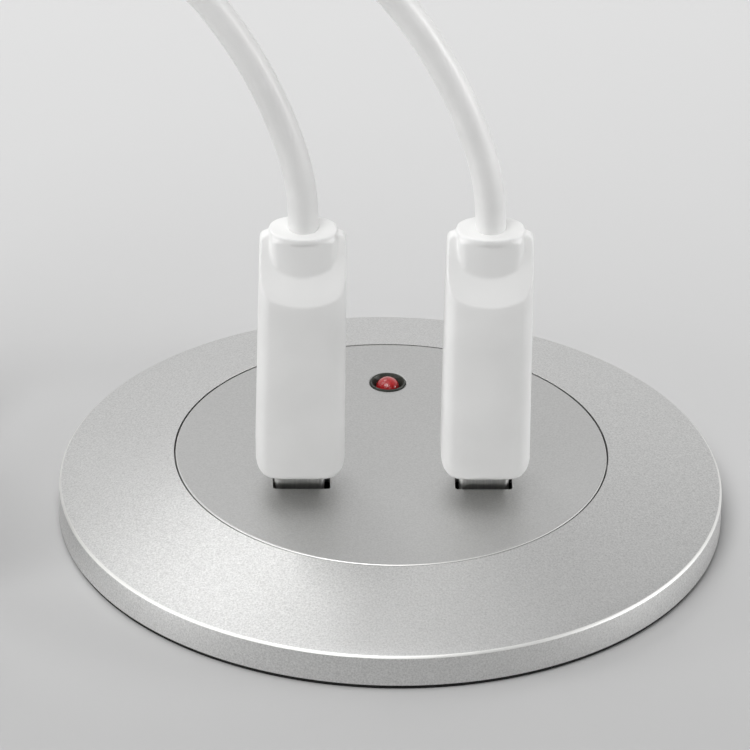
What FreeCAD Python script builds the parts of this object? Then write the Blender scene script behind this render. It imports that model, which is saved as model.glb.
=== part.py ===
import FreeCAD, Part
import math
import os

# In-desk USB charger: a round metal bezel over a desk hole, a plastic barrel below the desk with the
# power supply in it, a clamp washer and ring nut from underneath, and two leads plugged in on top.
# Millimetres, +Z up, the desk surface at Z = 0, the front of the charger towards -Y.

Vector = FreeCAD.Vector
Z_AXIS = Vector(0, 0, 1)

# Fits and clearances
TUBE_CLEARANCE = 0.3
THREAD_PLAY = 0.2
PLATE_GAP = 0.25
SCREW_CLEARANCE = 0.1
CARD_CLEARANCE = 0.1
COVER_CLEARANCE = 0.2
PLUG_CLEARANCE_WIDE = 0.045
PLUG_CLEARANCE_THIN = 0.08
LED_CLEARANCE = 0.05
EDGE_BREAK = 0.15

# Bezel ring and face plate
GASKET_HEIGHT = 0.8
GASKET_INSET = 1.0
GASKET_WIDTH = 6.5
FLANGE_RADIUS = 55.0
RIM_TOP = 6.3
RIM_BEVEL = 0.5
SKIRT_WALL = 2.5
CONE_WALL = 2.3
OPENING_RADIUS = 36.0
PLATE_TOP = 11.8
PLATE_THICKNESS = 2.0
LEDGE_WIDTH = 2.5
LEDGE_THICKNESS = 1.8
BOSS_RADIUS = 3.4
BOSS_ROOF = 1.1
BEZEL_SCREW_OFFSET = 1.5
BEZEL_SCREW_COUNT = 4
BEZEL_SCREW_RADIUS = 1.5
BEZEL_SCREW_HEAD_RADIUS = 2.8
BEZEL_SCREW_TIP = 7.7

# Port slots and the light in the face plate
SLOT_X = 15.0
SLOT_WIDTH = 9.4
SLOT_FRONT_Y = -11.6
SLOT_DEPTH = 5.2
SLOT_CORNER = 0.6
LIGHT_FROM_EDGE = 13.0
LIGHT_HOLE_RADIUS = 3.0
PILLAR_INSET = 5.5
PILLAR_ANGLES = (30.0, 150.0, 270.0)
PILLAR_RADIUS = 2.6

# Barrel
BARREL_SHOULDER_RADIUS = 39.5
BARREL_SHOULDER_BOTTOM = -8.0
BARREL_STEP = 1.5
BARREL_WALL = 1.9
THREAD_SETBACK = 1.1
THREAD_DEPTH = 0.7
THREAD_PITCH = 4.0
THREAD_END = 2.5
THREAD_CREST_HALF = 0.45
THREAD_SINK = 0.5
BARREL_BOTTOM = -60.0
BARREL_END_BEVEL = 0.8
BARREL_FLANGE_THICKNESS = 2.5
KEYWAY_WIDTH = 6.0
KEYWAY_DEPTH = 0.9
GUIDE_DEPTH = 3.5
GUIDE_RIB = 1.4
GUIDE_TOP = -4.0
GUIDE_STOP = 2.0
FORM_ROOT = 0.5
COVER_BOSS_RADIUS = 3.2
COVER_BOSS_HEIGHT = 10.0
COVER_SCREW_INSET = 2.7
COVER_SCREW_ANGLES = (90.0, 210.0, 330.0)

# Clamp washer and ring nut
WASHER_TOP = -25.0
WASHER_THICKNESS = 3.0
CLAMP_RIM = 7.7
NUT_HEIGHT = 12.0
NUT_WALL = 4.7
NUT_FLANGE = 2.0
NUT_LUG_COUNT = 8
NUT_LUG_WIDTH = 5.0

# Rear cover, mains inlet and small screws
COVER_THICKNESS = 2.5
VENT_COUNT = 5
VENT_FIRST_Y = 8.0
VENT_PITCH = 4.0
VENT_WIDTH = 2.2
VENT_END_INSET = 24.5
INLET_Y = -16.0
INLET_FLANGE_X = 23.0
INLET_FLANGE_Y = 16.0
INLET_FLANGE_THICKNESS = 1.6
INLET_FLANGE_CORNER = 1.5
INLET_BODY_X = 19.0
INLET_BODY_Y = 12.0
INLET_BODY_TOP = -46.0
INLET_CAVITY_DEPTH = 13.0
INLET_LOBE_RADIUS = 4.0
INLET_LOBE_X = 3.4
INLET_WAIST = 6.4
PIN_RADIUS = 1.18
PIN_X = 4.3
PIN_TIP = -59.4
PIN_TAIL = -43.0
WIRE_RADIUS = 0.9
WIRE_BEND = 4.0
WIRE_LEVEL = -38.0
SMALL_SCREW_RADIUS = 1.25
SMALL_SCREW_HEAD_RADIUS = 2.5
SMALL_SCREW_HEAD = 1.6
COVER_SCREW_LENGTH = 10.0
BOARD_SCREW_LENGTH = 7.0

# Circuit boards and the parts on them
BOARD_THICKNESS = 1.6
PORT_BOARD_TOP = 2.3
PORT_BOARD_INSET = 4.0
CARD_FRONT_Y = 5.2
CARD_EDGE_GAP = 2.0
CARD_BOTTOM = -50.0
CARD_TAB_X = 20.0
CARD_TAB_WIDTH = 8.0
CORE_HALF_X = 12.0
CORE_DEPTH = 20.0
CORE_BOTTOM = -29.0
CORE_TOP = -19.0
CORE_YOKE = 3.0
CORE_LEG_HALF = 3.5
WINDING_HALF_X = 8.0
WINDING_OVERHANG = 5.0
WINDING_CORNER = 4.0
BULK_RADIUS = 6.25
BULK_LENGTH = 20.0
BULK_SPOTS = ((21.0, -12.0), (21.0, -27.0))
OUTPUT_RADIUS = 5.0
OUTPUT_LENGTH = 16.0
OUTPUT_SPOTS = ((-21.0, -10.0), (-21.0, -22.0))
CAN_BEVEL = 0.6
CHOKE_X = -21.0
CHOKE_Z = -38.0
CHOKE_OUTER_RADIUS = 7.0
CHOKE_INNER_RADIUS = 3.0
CHOKE_THICKNESS = 7.0
CHOKE_BEVEL = 1.2
FILM_HALF_X = 7.0
FILM_DEPTH = 8.0
FILM_BOTTOM = -49.0
FILM_TOP = -40.0
FUSE_X = 12.0
FUSE_LENGTH = 18.0
FUSE_Z = -42.0
FUSE_RADIUS = 2.3
FUSE_HOLDER = 5.2
FUSE_HOLDER_LENGTH = 3.0
CHIP_SIZE = 10.0
CHIP_THICKNESS = 1.6
CHIP_X = 10.0
CHIP_UPPER_Z = -18.0
CHIP_LOWER_Z = -32.0
SINK_HALF_X = 20.0
SINK_BASE = 2.0
SINK_FIN_REACH = 9.6
SINK_FIN_COUNT = 9
SINK_FIN_THICKNESS = 1.5
SINK_BOTTOM = -40.0
SINK_TOP = -10.0

# USB sockets on the port board
SOCKET_LEFT_X = -15.35
SOCKET_RIGHT_X = 15.05
SOCKET_Y = -9.2
SOCKET_MOUTH = 9.6
SOCKET_WALL = 0.3
SOCKET_BASE_HEIGHT = 1.7
TONGUE_WIDTH = 6.7
TONGUE_THICKNESS = 0.7
TONGUE_TOP = 9.2

# Power light
LED_RADIUS = 2.05
LED_FLANGE_RADIUS = 2.5
LED_FLANGE = 0.8
LED_DOME_CENTRE = 10.6
CLIP_OUTER_RADIUS = 2.95
CLIP_FLANGE_RADIUS = 3.7
CLIP_FLANGE = 0.8
CLIP_TOP = 12.0
LEG_X = 1.27
LEG_RADIUS = 0.3
LEG_BOTTOM = -0.6

# Plugs of the leads, in their own frame: local Z = 0 on the nose side face, +Z towards the cord
NOSE_WIDTH = 8.25
NOSE_THICKNESS = 2.4
NOSE_LENGTH = 11.2
NOSE_WALL = 0.35
NOSE_CAVITY = 6.6
PLUG_BOTTOM = 15.5
PLUG_WIDTH = 14.6
PLUG_TOP_WIDTH = 14.05
PLUG_THICKNESS = 12.2
PLUG_FACE_RADIUS = 28.0
PLUG_SIDE_CORNER = 2.4
PLUG_BOTTOM_CORNER = 2.4
PLUG_CREASE = 32.5
ROOF_MIDDLE_Y = 4.2
ROOF_MIDDLE_Z = 37.5
RIDGE_HALF = 0.9
RIDGE_Z = 43.5
RIDGE_CORNER = 1.6
COLLAR_START = 34.0
COLLAR_WIDTH = 10.4
COLLAR_THICKNESS = 8.0
COLLAR_FACE_RADIUS = 16.0
COLLAR_CORNER = 1.6
COLLAR_TOP = 43.2
LIP_WIDTH = 11.1
LIP_THICKNESS = 8.5
LIP_FACE_RADIUS = 8.0
LIP_CORNER = 3.5
PLUG_LENGTH = 44.2

# Cords
CORD_RADIUS = 2.5
ARC_SHARE = 0.45
FALL_X = -76.0
FALL_Y = 29.8
FALL_END_Z = 33.0
UPPER_COIL_BASE = 11.0
LEFT_ROUTE = (
    (SOCKET_LEFT_X, SOCKET_Y, PLUG_BOTTOM + PLUG_LENGTH),
    (SOCKET_LEFT_X, SOCKET_Y, 65.8),
    (-17.8, SOCKET_Y, 75.9),
    (-22.1, SOCKET_Y, 86.6),
    (-27.7, SOCKET_Y, 96.6),
    (-34.7, SOCKET_Y, 105.8),
    (-44.5, SOCKET_Y, 111.6),
    (-55.2, SOCKET_Y, 112.4),
    (-64.9, -10.8, 108.4),
    (-71.8, -14.2, 100.4),
    (-75.4, -19.2, 89.9),
    (-76.5, -25.2, 76.0),
    (FALL_X, -FALL_Y, 56.5),
    (FALL_X, -FALL_Y, FALL_END_Z),
)
RIGHT_ROUTE = (
    (SOCKET_RIGHT_X, SOCKET_Y, PLUG_BOTTOM + PLUG_LENGTH),
    (SOCKET_RIGHT_X, SOCKET_Y, 65.8),
    (12.6, SOCKET_Y, 75.9),
    (8.3, SOCKET_Y, 86.6),
    (2.7, SOCKET_Y, 96.6),
    (-4.2, SOCKET_Y, 105.8),
    (-15.8, -6.7, 114.2),
    (-29.9, -1.6, 118.4),
    (-44.2, 4.9, 117.6),
    (-56.8, 11.7, 112.0),
    (-66.8, 18.6, 102.6),
    (-73.0, 24.6, 90.6),
    (-75.6, 28.6, 77.0),
    (FALL_X, FALL_Y, 61.0),
    (FALL_X, FALL_Y, FALL_END_Z + UPPER_COIL_BASE),
)

# Put-away coils, the right lead's on top of the left lead's. The left one winds counter-clockwise seen
# from above and the right one is its mirror image.
COIL_OUTER = 31.0
COIL_PITCH = 5.5
COIL_CLIMB_RADIUS = 19.0
COIL_BEND_RADIUS = 28.0
LOWER_EXIT_RUN = 6.0
LOWER_DROP_RUN = 14.0
UPPER_EXIT_RUN = 12.0
UPPER_DROP_RUN = 26.0
COIL_END_RUN = 5.0
GAP_SAMPLE = 1.0
GAP_SKIP = 16

# Heights and radii that follow from the sizes above
PLATE_BOTTOM = PLATE_TOP - PLATE_THICKNESS
PLATE_RADIUS = OPENING_RADIUS - PLATE_GAP
LIGHT_Y = OPENING_RADIUS - LIGHT_FROM_EDGE
GASKET_OUTER_RADIUS = FLANGE_RADIUS - GASKET_INSET
GASKET_INNER_RADIUS = GASKET_OUTER_RADIUS - GASKET_WIDTH
BEZEL_SCREW_CIRCLE = (OPENING_RADIUS + FLANGE_RADIUS) / 2 - BEZEL_SCREW_OFFSET
BARREL_STEP_RADIUS = BARREL_SHOULDER_RADIUS + BARREL_STEP
THREAD_ROOT_RADIUS = BARREL_SHOULDER_RADIUS - THREAD_SETBACK
THREAD_CREST_RADIUS = THREAD_ROOT_RADIUS + THREAD_DEPTH
BARREL_BORE = THREAD_ROOT_RADIUS - BARREL_WALL
INNER_FORM_RADIUS = BARREL_BORE + FORM_ROOT
GUIDE_REACH = BARREL_BORE - GUIDE_DEPTH
CARD_HALF_WIDTH = BARREL_BORE - CARD_EDGE_GAP
COVER_SCREW_CIRCLE = BARREL_BORE - COVER_SCREW_INSET
VENT_HALF_LENGTH = BARREL_BORE - VENT_END_INSET
PORT_BOARD_RADIUS = BARREL_BORE - PORT_BOARD_INSET
PILLAR_CIRCLE = PORT_BOARD_RADIUS - PILLAR_INSET
LEDGE_BOTTOM = PLATE_BOTTOM - LEDGE_THICKNESS
SKIRT_RADIUS = FLANGE_RADIUS - SKIRT_WALL
BARREL_TOP = GASKET_HEIGHT + BARREL_FLANGE_THICKNESS
CONE_SLOPE = (PLATE_TOP - RIM_TOP) / (FLANGE_RADIUS - RIM_BEVEL - OPENING_RADIUS)
CLAMP_BORE = THREAD_CREST_RADIUS + THREAD_PLAY
CLAMP_OUTER_RADIUS = CLAMP_BORE + CLAMP_RIM
NUT_WALL_RADIUS = CLAMP_BORE + NUT_WALL
WASHER_BOTTOM = WASHER_TOP - WASHER_THICKNESS
NUT_BOTTOM = WASHER_BOTTOM - NUT_HEIGHT
COVER_TOP = BARREL_BOTTOM + COVER_THICKNESS
INLET_FACE = BARREL_BOTTOM - INLET_FLANGE_THICKNESS
PORT_BOARD_BOTTOM = PORT_BOARD_TOP - BOARD_THICKNESS
CARD_BACK_Y = CARD_FRONT_Y + BOARD_THICKNESS
SOCKET_OPEN_WIDTH = NOSE_WIDTH + 2 * PLUG_CLEARANCE_WIDE
SOCKET_OPEN_THICKNESS = NOSE_THICKNESS + 2 * PLUG_CLEARANCE_THIN
COIL_X = FALL_X - COIL_OUTER
UPPER_LAYER = CORD_RADIUS + COIL_PITCH
FAR_PLUG_AXIS = PLUG_THICKNESS / 2


def cylinder(radius, low, high, x=0.0, y=0.0):
    return Part.makeCylinder(radius, high - low, Vector(x, y, low))


def box(x_low, x_high, y_low, y_high, z_low, z_high):
    return Part.makeBox(x_high - x_low, y_high - y_low, z_high - z_low, Vector(x_low, y_low, z_low))


def turned(outline, angle=360):
    """Solid of revolution about the Z axis from a closed outline of (radius, height) points."""
    points = [Vector(radius, 0, height) for radius, height in outline]
    face = Part.Face(Part.makePolygon(points + points[:1]))
    return face.revolve(Vector(0, 0, 0), Z_AXIS, angle)


def on_circle(radius, degrees):
    angle = math.radians(degrees)
    return radius * math.cos(angle), radius * math.sin(angle)


def rounded_prism(width, depth, corner, low, high, x=0.0, y=0.0):
    """Upright prism whose section is a rectangle with round corners."""
    across = width / 2 - corner
    along = depth / 2 - corner
    pieces = [cylinder(corner, low, high, x + i * across, y + j * along) for i in (-1, 1) for j in (-1, 1)]
    if across > 0:
        pieces.append(box(x - across, x + across, y - depth / 2, y + depth / 2, low, high))
    if along > 0:
        pieces.append(box(x - width / 2, x + width / 2, y - along, y + along, low, high))
    return pieces[0].multiFuse(pieces[1:]).removeSplitter()


def lying_can(radius, length, bevel, x, z):
    """Round can standing off the front face of the main board, pointing at -Y."""
    face_y = CARD_FRONT_Y - length
    can = Part.makeCylinder(radius, length - bevel, Vector(x, CARD_FRONT_Y, z), Vector(0, -1, 0))
    nose = Part.makeCone(radius, radius - bevel, bevel, Vector(x, face_y + bevel, z), Vector(0, -1, 0))
    return can.fuse(nose).removeSplitter()


def bezel_screw_spots():
    step = 360.0 / BEZEL_SCREW_COUNT
    return [on_circle(BEZEL_SCREW_CIRCLE, step / 2 + step * i) for i in range(BEZEL_SCREW_COUNT)]


def cover_screw_spots():
    return [on_circle(COVER_SCREW_CIRCLE, degrees) for degrees in COVER_SCREW_ANGLES]


def pillar_spots():
    return [on_circle(PILLAR_CIRCLE, degrees) for degrees in PILLAR_ANGLES]


def cone_height(radius):
    """Height of the bezel's outer cone at a radius."""
    return PLATE_TOP - (radius - OPENING_RADIUS) * CONE_SLOPE


def bezel_ring():
    """Turned aluminium ring: skirt, shallow cone, rebate for the face plate, four screw bosses."""
    wall_meets_ledge = OPENING_RADIUS + (PLATE_TOP - CONE_WALL - LEDGE_BOTTOM) / CONE_SLOPE
    ring = turned([
        (SKIRT_RADIUS, GASKET_HEIGHT),
        (FLANGE_RADIUS, GASKET_HEIGHT),
        (FLANGE_RADIUS, RIM_TOP - RIM_BEVEL),
        (FLANGE_RADIUS - RIM_BEVEL, RIM_TOP),
        (OPENING_RADIUS + EDGE_BREAK, cone_height(OPENING_RADIUS + EDGE_BREAK)),
        (OPENING_RADIUS, PLATE_TOP - EDGE_BREAK),
        (OPENING_RADIUS, PLATE_BOTTOM),
        (OPENING_RADIUS - LEDGE_WIDTH, PLATE_BOTTOM),
        (OPENING_RADIUS - LEDGE_WIDTH, LEDGE_BOTTOM),
        (wall_meets_ledge, LEDGE_BOTTOM),
        (SKIRT_RADIUS, cone_height(SKIRT_RADIUS) - CONE_WALL),
    ])
    under_cone = turned([
        (OPENING_RADIUS, BARREL_TOP),
        (SKIRT_RADIUS, BARREL_TOP),
        (SKIRT_RADIUS, cone_height(SKIRT_RADIUS) - BOSS_ROOF),
        (OPENING_RADIUS, PLATE_TOP - BOSS_ROOF),
    ])
    bosses = [cylinder(BOSS_RADIUS, BARREL_TOP, PLATE_TOP, x, y).common(under_cone)
              for x, y in bezel_screw_spots()]
    holes = [cylinder(BEZEL_SCREW_RADIUS, BARREL_TOP, BEZEL_SCREW_TIP, x, y) for x, y in bezel_screw_spots()]
    return ring.multiFuse(bosses).cut(Part.makeCompound(holes))


def face_plate():
    """Round plate with the two port slots, the light hole and three pillars for the port board."""
    disc = turned([
        (0, PLATE_BOTTOM),
        (PLATE_RADIUS, PLATE_BOTTOM),
        (PLATE_RADIUS, PLATE_TOP - EDGE_BREAK),
        (PLATE_RADIUS - EDGE_BREAK, PLATE_TOP),
        (0, PLATE_TOP),
    ])
    pillars = [cylinder(PILLAR_RADIUS, PORT_BOARD_TOP, PLATE_BOTTOM, x, y) for x, y in pillar_spots()]
    slot_y = SLOT_FRONT_Y + SLOT_DEPTH / 2
    cuts = [rounded_prism(SLOT_WIDTH, SLOT_DEPTH, SLOT_CORNER, PLATE_BOTTOM, PLATE_TOP, x, slot_y)
            for x in (-SLOT_X, SLOT_X)]
    cuts.append(cylinder(LIGHT_HOLE_RADIUS, PLATE_BOTTOM, PLATE_TOP, 0, LIGHT_Y))
    screw_tip = PORT_BOARD_BOTTOM + BOARD_SCREW_LENGTH
    cuts += [cylinder(SMALL_SCREW_RADIUS, PORT_BOARD_TOP, screw_tip, x, y) for x, y in pillar_spots()]
    return disc.multiFuse(pillars).cut(Part.makeCompound(cuts))


def flange_gasket():
    return cylinder(GASKET_OUTER_RADIUS, 0, GASKET_HEIGHT).cut(cylinder(GASKET_INNER_RADIUS, 0, GASKET_HEIGHT))


def bezel_screw(x, y, clearance=0.0):
    """Countersunk screw from below the barrel flange, head flush with the flange's underside."""
    cone_rise = BEZEL_SCREW_HEAD_RADIUS - BEZEL_SCREW_RADIUS
    low = Vector(x, y, GASKET_HEIGHT)
    head = Part.makeCone(BEZEL_SCREW_HEAD_RADIUS, BEZEL_SCREW_RADIUS, cone_rise, low)
    tip = BEZEL_SCREW_TIP if clearance == 0 else BARREL_TOP
    return head.fuse(cylinder(BEZEL_SCREW_RADIUS + clearance, GASKET_HEIGHT, tip, x, y)).removeSplitter()


def thread_ridges():
    """The thread's ridges, one half ring for each half turn, tilted so that it climbs half a pitch."""
    sunk = THREAD_ROOT_RADIUS - THREAD_SINK
    sunk_half = THREAD_CREST_HALF + THREAD_CREST_RADIUS - sunk
    section = [(sunk, -sunk_half), (THREAD_CREST_RADIUS, -THREAD_CREST_HALF),
               (THREAD_CREST_RADIUS, THREAD_CREST_HALF), (sunk, sunk_half)]
    half_ring = turned(section, 180)
    half_ring.rotate(Vector(0, 0, 0), Vector(0, 1, 0), math.degrees(math.atan(THREAD_PITCH / (4 * sunk))))
    room = BARREL_SHOULDER_BOTTOM - BARREL_BOTTOM - 2 * THREAD_END
    ridges = []
    for i in range(int(room / (THREAD_PITCH / 2))):
        ridge = half_ring.copy()
        ridge.rotate(Vector(0, 0, 0), Z_AXIS, 180 * i)
        ridge.translate(Vector(0, 0, BARREL_BOTTOM + THREAD_END + (i + 0.5) * THREAD_PITCH / 2))
        ridges.append(ridge)
    return ridges


def barrel():
    """Moulded barrel: top flange under the bezel, plain shoulder, threaded part with two keyways."""
    tube = turned([
        (BARREL_BORE, BARREL_BOTTOM),
        (THREAD_ROOT_RADIUS - BARREL_END_BEVEL, BARREL_BOTTOM),
        (THREAD_ROOT_RADIUS, BARREL_BOTTOM + BARREL_END_BEVEL),
        (THREAD_ROOT_RADIUS, BARREL_SHOULDER_BOTTOM),
        (BARREL_SHOULDER_RADIUS, BARREL_SHOULDER_BOTTOM),
        (BARREL_SHOULDER_RADIUS, 0),
        (BARREL_STEP_RADIUS, 0),
        (BARREL_STEP_RADIUS, GASKET_HEIGHT),
        (SKIRT_RADIUS - TUBE_CLEARANCE, GASKET_HEIGHT),
        (SKIRT_RADIUS - TUBE_CLEARANCE, BARREL_TOP),
        (BARREL_BORE, BARREL_TOP),
    ])
    inner = cylinder(INNER_FORM_RADIUS, BARREL_BOTTOM, BARREL_TOP)
    inner_forms = []
    rib_front = CARD_FRONT_Y - CARD_CLEARANCE
    stop_low = CARD_BOTTOM - GUIDE_STOP
    for low, high in ((-INNER_FORM_RADIUS, -GUIDE_REACH), (GUIDE_REACH, INNER_FORM_RADIUS)):
        inner_forms.append(box(low, high, rib_front - GUIDE_RIB, rib_front, stop_low, GUIDE_TOP))
        inner_forms.append(box(low, high, CARD_BACK_Y, CARD_BACK_Y + GUIDE_RIB, stop_low, GUIDE_TOP))
        inner_forms.append(box(low, high, rib_front, CARD_BACK_Y, stop_low, CARD_BOTTOM))
    for x, y in cover_screw_spots():
        inner_forms.append(cylinder(COVER_BOSS_RADIUS, COVER_TOP, COVER_TOP + COVER_BOSS_HEIGHT, x, y))
    body = tube.multiFuse([form.common(inner) for form in inner_forms] + thread_ridges())
    keyway_floor = THREAD_ROOT_RADIUS - KEYWAY_DEPTH
    half = KEYWAY_WIDTH / 2
    cuts = [box(low, high, -half, half, BARREL_BOTTOM, BARREL_SHOULDER_BOTTOM)
            for low, high in ((-BARREL_SHOULDER_RADIUS, -keyway_floor), (keyway_floor, BARREL_SHOULDER_RADIUS))]
    cuts += [bezel_screw(x, y, SCREW_CLEARANCE) for x, y in bezel_screw_spots()]
    screw_tip = BARREL_BOTTOM + COVER_SCREW_LENGTH
    cuts += [cylinder(SMALL_SCREW_RADIUS, COVER_TOP, screw_tip, x, y) for x, y in cover_screw_spots()]
    return body.cut(Part.makeCompound(cuts)).removeSplitter()


def bezel_screws():
    return Part.makeCompound([bezel_screw(x, y) for x, y in bezel_screw_spots()])


def clamp_washer():
    """Flat washer under the desk; two inner tabs ride in the barrel's keyways so that it cannot turn."""
    ring = cylinder(CLAMP_OUTER_RADIUS, WASHER_BOTTOM, WASHER_TOP)
    ring = ring.cut(cylinder(CLAMP_BORE, WASHER_BOTTOM, WASHER_TOP))
    tab_reach = THREAD_ROOT_RADIUS - KEYWAY_DEPTH + TUBE_CLEARANCE
    half = KEYWAY_WIDTH / 2 - TUBE_CLEARANCE
    tabs = [box(low, high, -half, half, WASHER_BOTTOM, WASHER_TOP)
            for low, high in ((-NUT_WALL_RADIUS, -tab_reach), (tab_reach, NUT_WALL_RADIUS))]
    return ring.multiFuse(tabs).removeSplitter()


def ring_nut():
    """Ring nut with a pressing flange at the top and grip lugs round its wall."""
    wall = cylinder(NUT_WALL_RADIUS, NUT_BOTTOM, WASHER_BOTTOM)
    flange = cylinder(CLAMP_OUTER_RADIUS, WASHER_BOTTOM - NUT_FLANGE, WASHER_BOTTOM)
    outline = cylinder(CLAMP_OUTER_RADIUS, NUT_BOTTOM, WASHER_BOTTOM)
    half = NUT_LUG_WIDTH / 2
    lugs = []
    for i in range(NUT_LUG_COUNT):
        lug = box(CLAMP_BORE, CLAMP_OUTER_RADIUS, -half, half, NUT_BOTTOM, WASHER_BOTTOM)
        lug.rotate(Vector(0, 0, 0), Z_AXIS, (i + 0.5) * 360.0 / NUT_LUG_COUNT)
        lugs.append(lug.common(outline))
    nut = wall.multiFuse([flange] + lugs)
    return nut.cut(cylinder(CLAMP_BORE, NUT_BOTTOM, WASHER_BOTTOM)).removeSplitter()


def rear_cover():
    """Disc that closes the barrel's mouth, with vents and the cut-out for the mains inlet."""
    disc = cylinder(BARREL_BORE - COVER_CLEARANCE, BARREL_BOTTOM, COVER_TOP)
    cut_x = INLET_BODY_X / 2 + CARD_CLEARANCE
    cut_y = INLET_BODY_Y / 2 + CARD_CLEARANCE
    cuts = [box(-cut_x, cut_x, INLET_Y - cut_y, INLET_Y + cut_y, BARREL_BOTTOM, COVER_TOP)]
    for i in range(VENT_COUNT):
        y = VENT_FIRST_Y + i * VENT_PITCH
        cuts.append(box(-VENT_HALF_LENGTH, VENT_HALF_LENGTH, y - VENT_WIDTH / 2, y + VENT_WIDTH / 2,
                        BARREL_BOTTOM, COVER_TOP))
    hole = SMALL_SCREW_RADIUS + SCREW_CLEARANCE
    cuts += [cylinder(hole, BARREL_BOTTOM, COVER_TOP, x, y) for x, y in cover_screw_spots()]
    return disc.cut(Part.makeCompound(cuts))


def pan_screw(x, y, seat, length):
    """Pan-head screw driven upwards, its head below the seat height."""
    head = cylinder(SMALL_SCREW_HEAD_RADIUS, seat - SMALL_SCREW_HEAD, seat, x, y)
    return head.fuse(cylinder(SMALL_SCREW_RADIUS, seat, seat + length, x, y))


def cover_screws():
    screws = [pan_screw(x, y, BARREL_BOTTOM, COVER_SCREW_LENGTH) for x, y in cover_screw_spots()]
    return Part.makeCompound(screws)


def port_board_screws():
    screws = [pan_screw(x, y, PORT_BOARD_BOTTOM, BOARD_SCREW_LENGTH) for x, y in pillar_spots()]
    return Part.makeCompound(screws)


def mains_inlet():
    """Two-pin inlet: flange outside the rear cover, body through it, figure-eight cavity open below."""
    flange = rounded_prism(INLET_FLANGE_X, INLET_FLANGE_Y, INLET_FLANGE_CORNER, INLET_FACE, BARREL_BOTTOM,
                           0, INLET_Y)
    half_x = INLET_BODY_X / 2
    half_y = INLET_BODY_Y / 2
    body = box(-half_x, half_x, INLET_Y - half_y, INLET_Y + half_y, BARREL_BOTTOM, INLET_BODY_TOP)
    cavity_top = INLET_FACE + INLET_CAVITY_DEPTH
    cavity = [cylinder(INLET_LOBE_RADIUS, INLET_FACE, cavity_top, x, INLET_Y)
              for x in (-INLET_LOBE_X, INLET_LOBE_X)]
    cavity.append(box(-INLET_LOBE_X, INLET_LOBE_X, INLET_Y - INLET_WAIST / 2, INLET_Y + INLET_WAIST / 2,
                      INLET_FACE, cavity_top))
    holes = [cylinder(PIN_RADIUS, cavity_top, INLET_BODY_TOP, x, INLET_Y) for x in (-PIN_X, PIN_X)]
    return flange.fuse(body).cut(cavity[0].multiFuse(cavity[1:] + holes)).removeSplitter()


def inlet_pins():
    pins = []
    for x in (-PIN_X, PIN_X):
        straight = cylinder(PIN_RADIUS, PIN_TIP + PIN_RADIUS, PIN_TAIL, x, INLET_Y)
        tip = Part.makeSphere(PIN_RADIUS, Vector(x, INLET_Y, PIN_TIP + PIN_RADIUS))
        pins.append(straight.fuse(tip).removeSplitter())
    return Part.makeCompound(pins)


def swept_tube(edges, radius):
    """Round tube along a path of tangent edges; prints how its volume compares with section x length."""
    path = Part.Wire(edges)
    start = path.Edges[0]
    tangent = start.tangentAt(start.FirstParameter)
    profile = Part.Wire([Part.makeCircle(radius, start.valueAt(start.FirstParameter), tangent)])
    tube = path.makePipeShell([profile], True, False)
    expected = math.pi * radius ** 2 * path.Length
    print("tube length %.1f mm, volume ratio %.4f" % (path.Length, tube.Volume / expected))
    return tube


def corner_arc(start, corner, end):
    """Arc tangent to both legs of a corner; start and end lie equally far from the corner."""
    into = (corner - start).normalize()
    out = (end - corner).normalize()
    half_turn = into.getAngle(out) / 2
    radius = (corner - start).Length / math.tan(half_turn)
    inward = (out - into).normalize()
    middle = corner + inward * (radius / math.cos(half_turn) - radius)
    return Part.Arc(start, middle, end).toShape(), radius


def straight_edge(start, end):
    return Part.LineSegment(start, end).toShape()


def rounded_route(points):
    """Straight runs through the points, each corner eased by a tangent arc."""
    corners = [Vector(*point) for point in points]
    edges = []
    radii = []
    here = corners[0]
    for before, corner, after in zip(corners, corners[1:], corners[2:]):
        reach = ARC_SHARE * min((corner - before).Length, (after - corner).Length)
        arc_start = corner + (before - corner).normalize() * reach
        arc_end = corner + (after - corner).normalize() * reach
        arc, radius = corner_arc(arc_start, corner, arc_end)
        edges += [straight_edge(here, arc_start), arc]
        radii.append(radius)
        here = arc_end
    edges.append(straight_edge(here, corners[-1]))
    print("smallest bend radius %.1f mm" % min(radii))
    return edges


def inlet_wires():
    """Two wires from the inlet's pins up and across to the main board."""
    wires = []
    for x in (-PIN_X, PIN_X):
        foot = Vector(x, INLET_Y, PIN_TAIL)
        bend_start = Vector(x, INLET_Y, WIRE_LEVEL - WIRE_BEND)
        corner = Vector(x, INLET_Y, WIRE_LEVEL)
        bend_end = Vector(x, INLET_Y + WIRE_BEND, WIRE_LEVEL)
        arc = corner_arc(bend_start, corner, bend_end)[0]
        run = straight_edge(bend_end, Vector(x, CARD_FRONT_Y, WIRE_LEVEL))
        wires.append(swept_tube([straight_edge(foot, bend_start), arc, run], WIRE_RADIUS))
    return Part.makeCompound(wires)


def port_board():
    """Round board under the face plate that carries the sockets and the light."""
    disc = cylinder(PORT_BOARD_RADIUS, PORT_BOARD_BOTTOM, PORT_BOARD_TOP)
    cuts = [cylinder(SMALL_SCREW_RADIUS, PORT_BOARD_BOTTOM, PORT_BOARD_TOP, x, y) for x, y in pillar_spots()]
    cuts += [cylinder(LEG_RADIUS, PORT_BOARD_BOTTOM, PORT_BOARD_TOP, x, LIGHT_Y) for x in (-LEG_X, LEG_X)]
    cuts += card_tabs()
    return disc.cut(Part.makeCompound(cuts))


def card_tabs():
    half = CARD_TAB_WIDTH / 2
    return [box(x - half, x + half, CARD_FRONT_Y, CARD_BACK_Y, PORT_BOARD_BOTTOM, PORT_BOARD_TOP)
            for x in (-CARD_TAB_X, CARD_TAB_X)]


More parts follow.
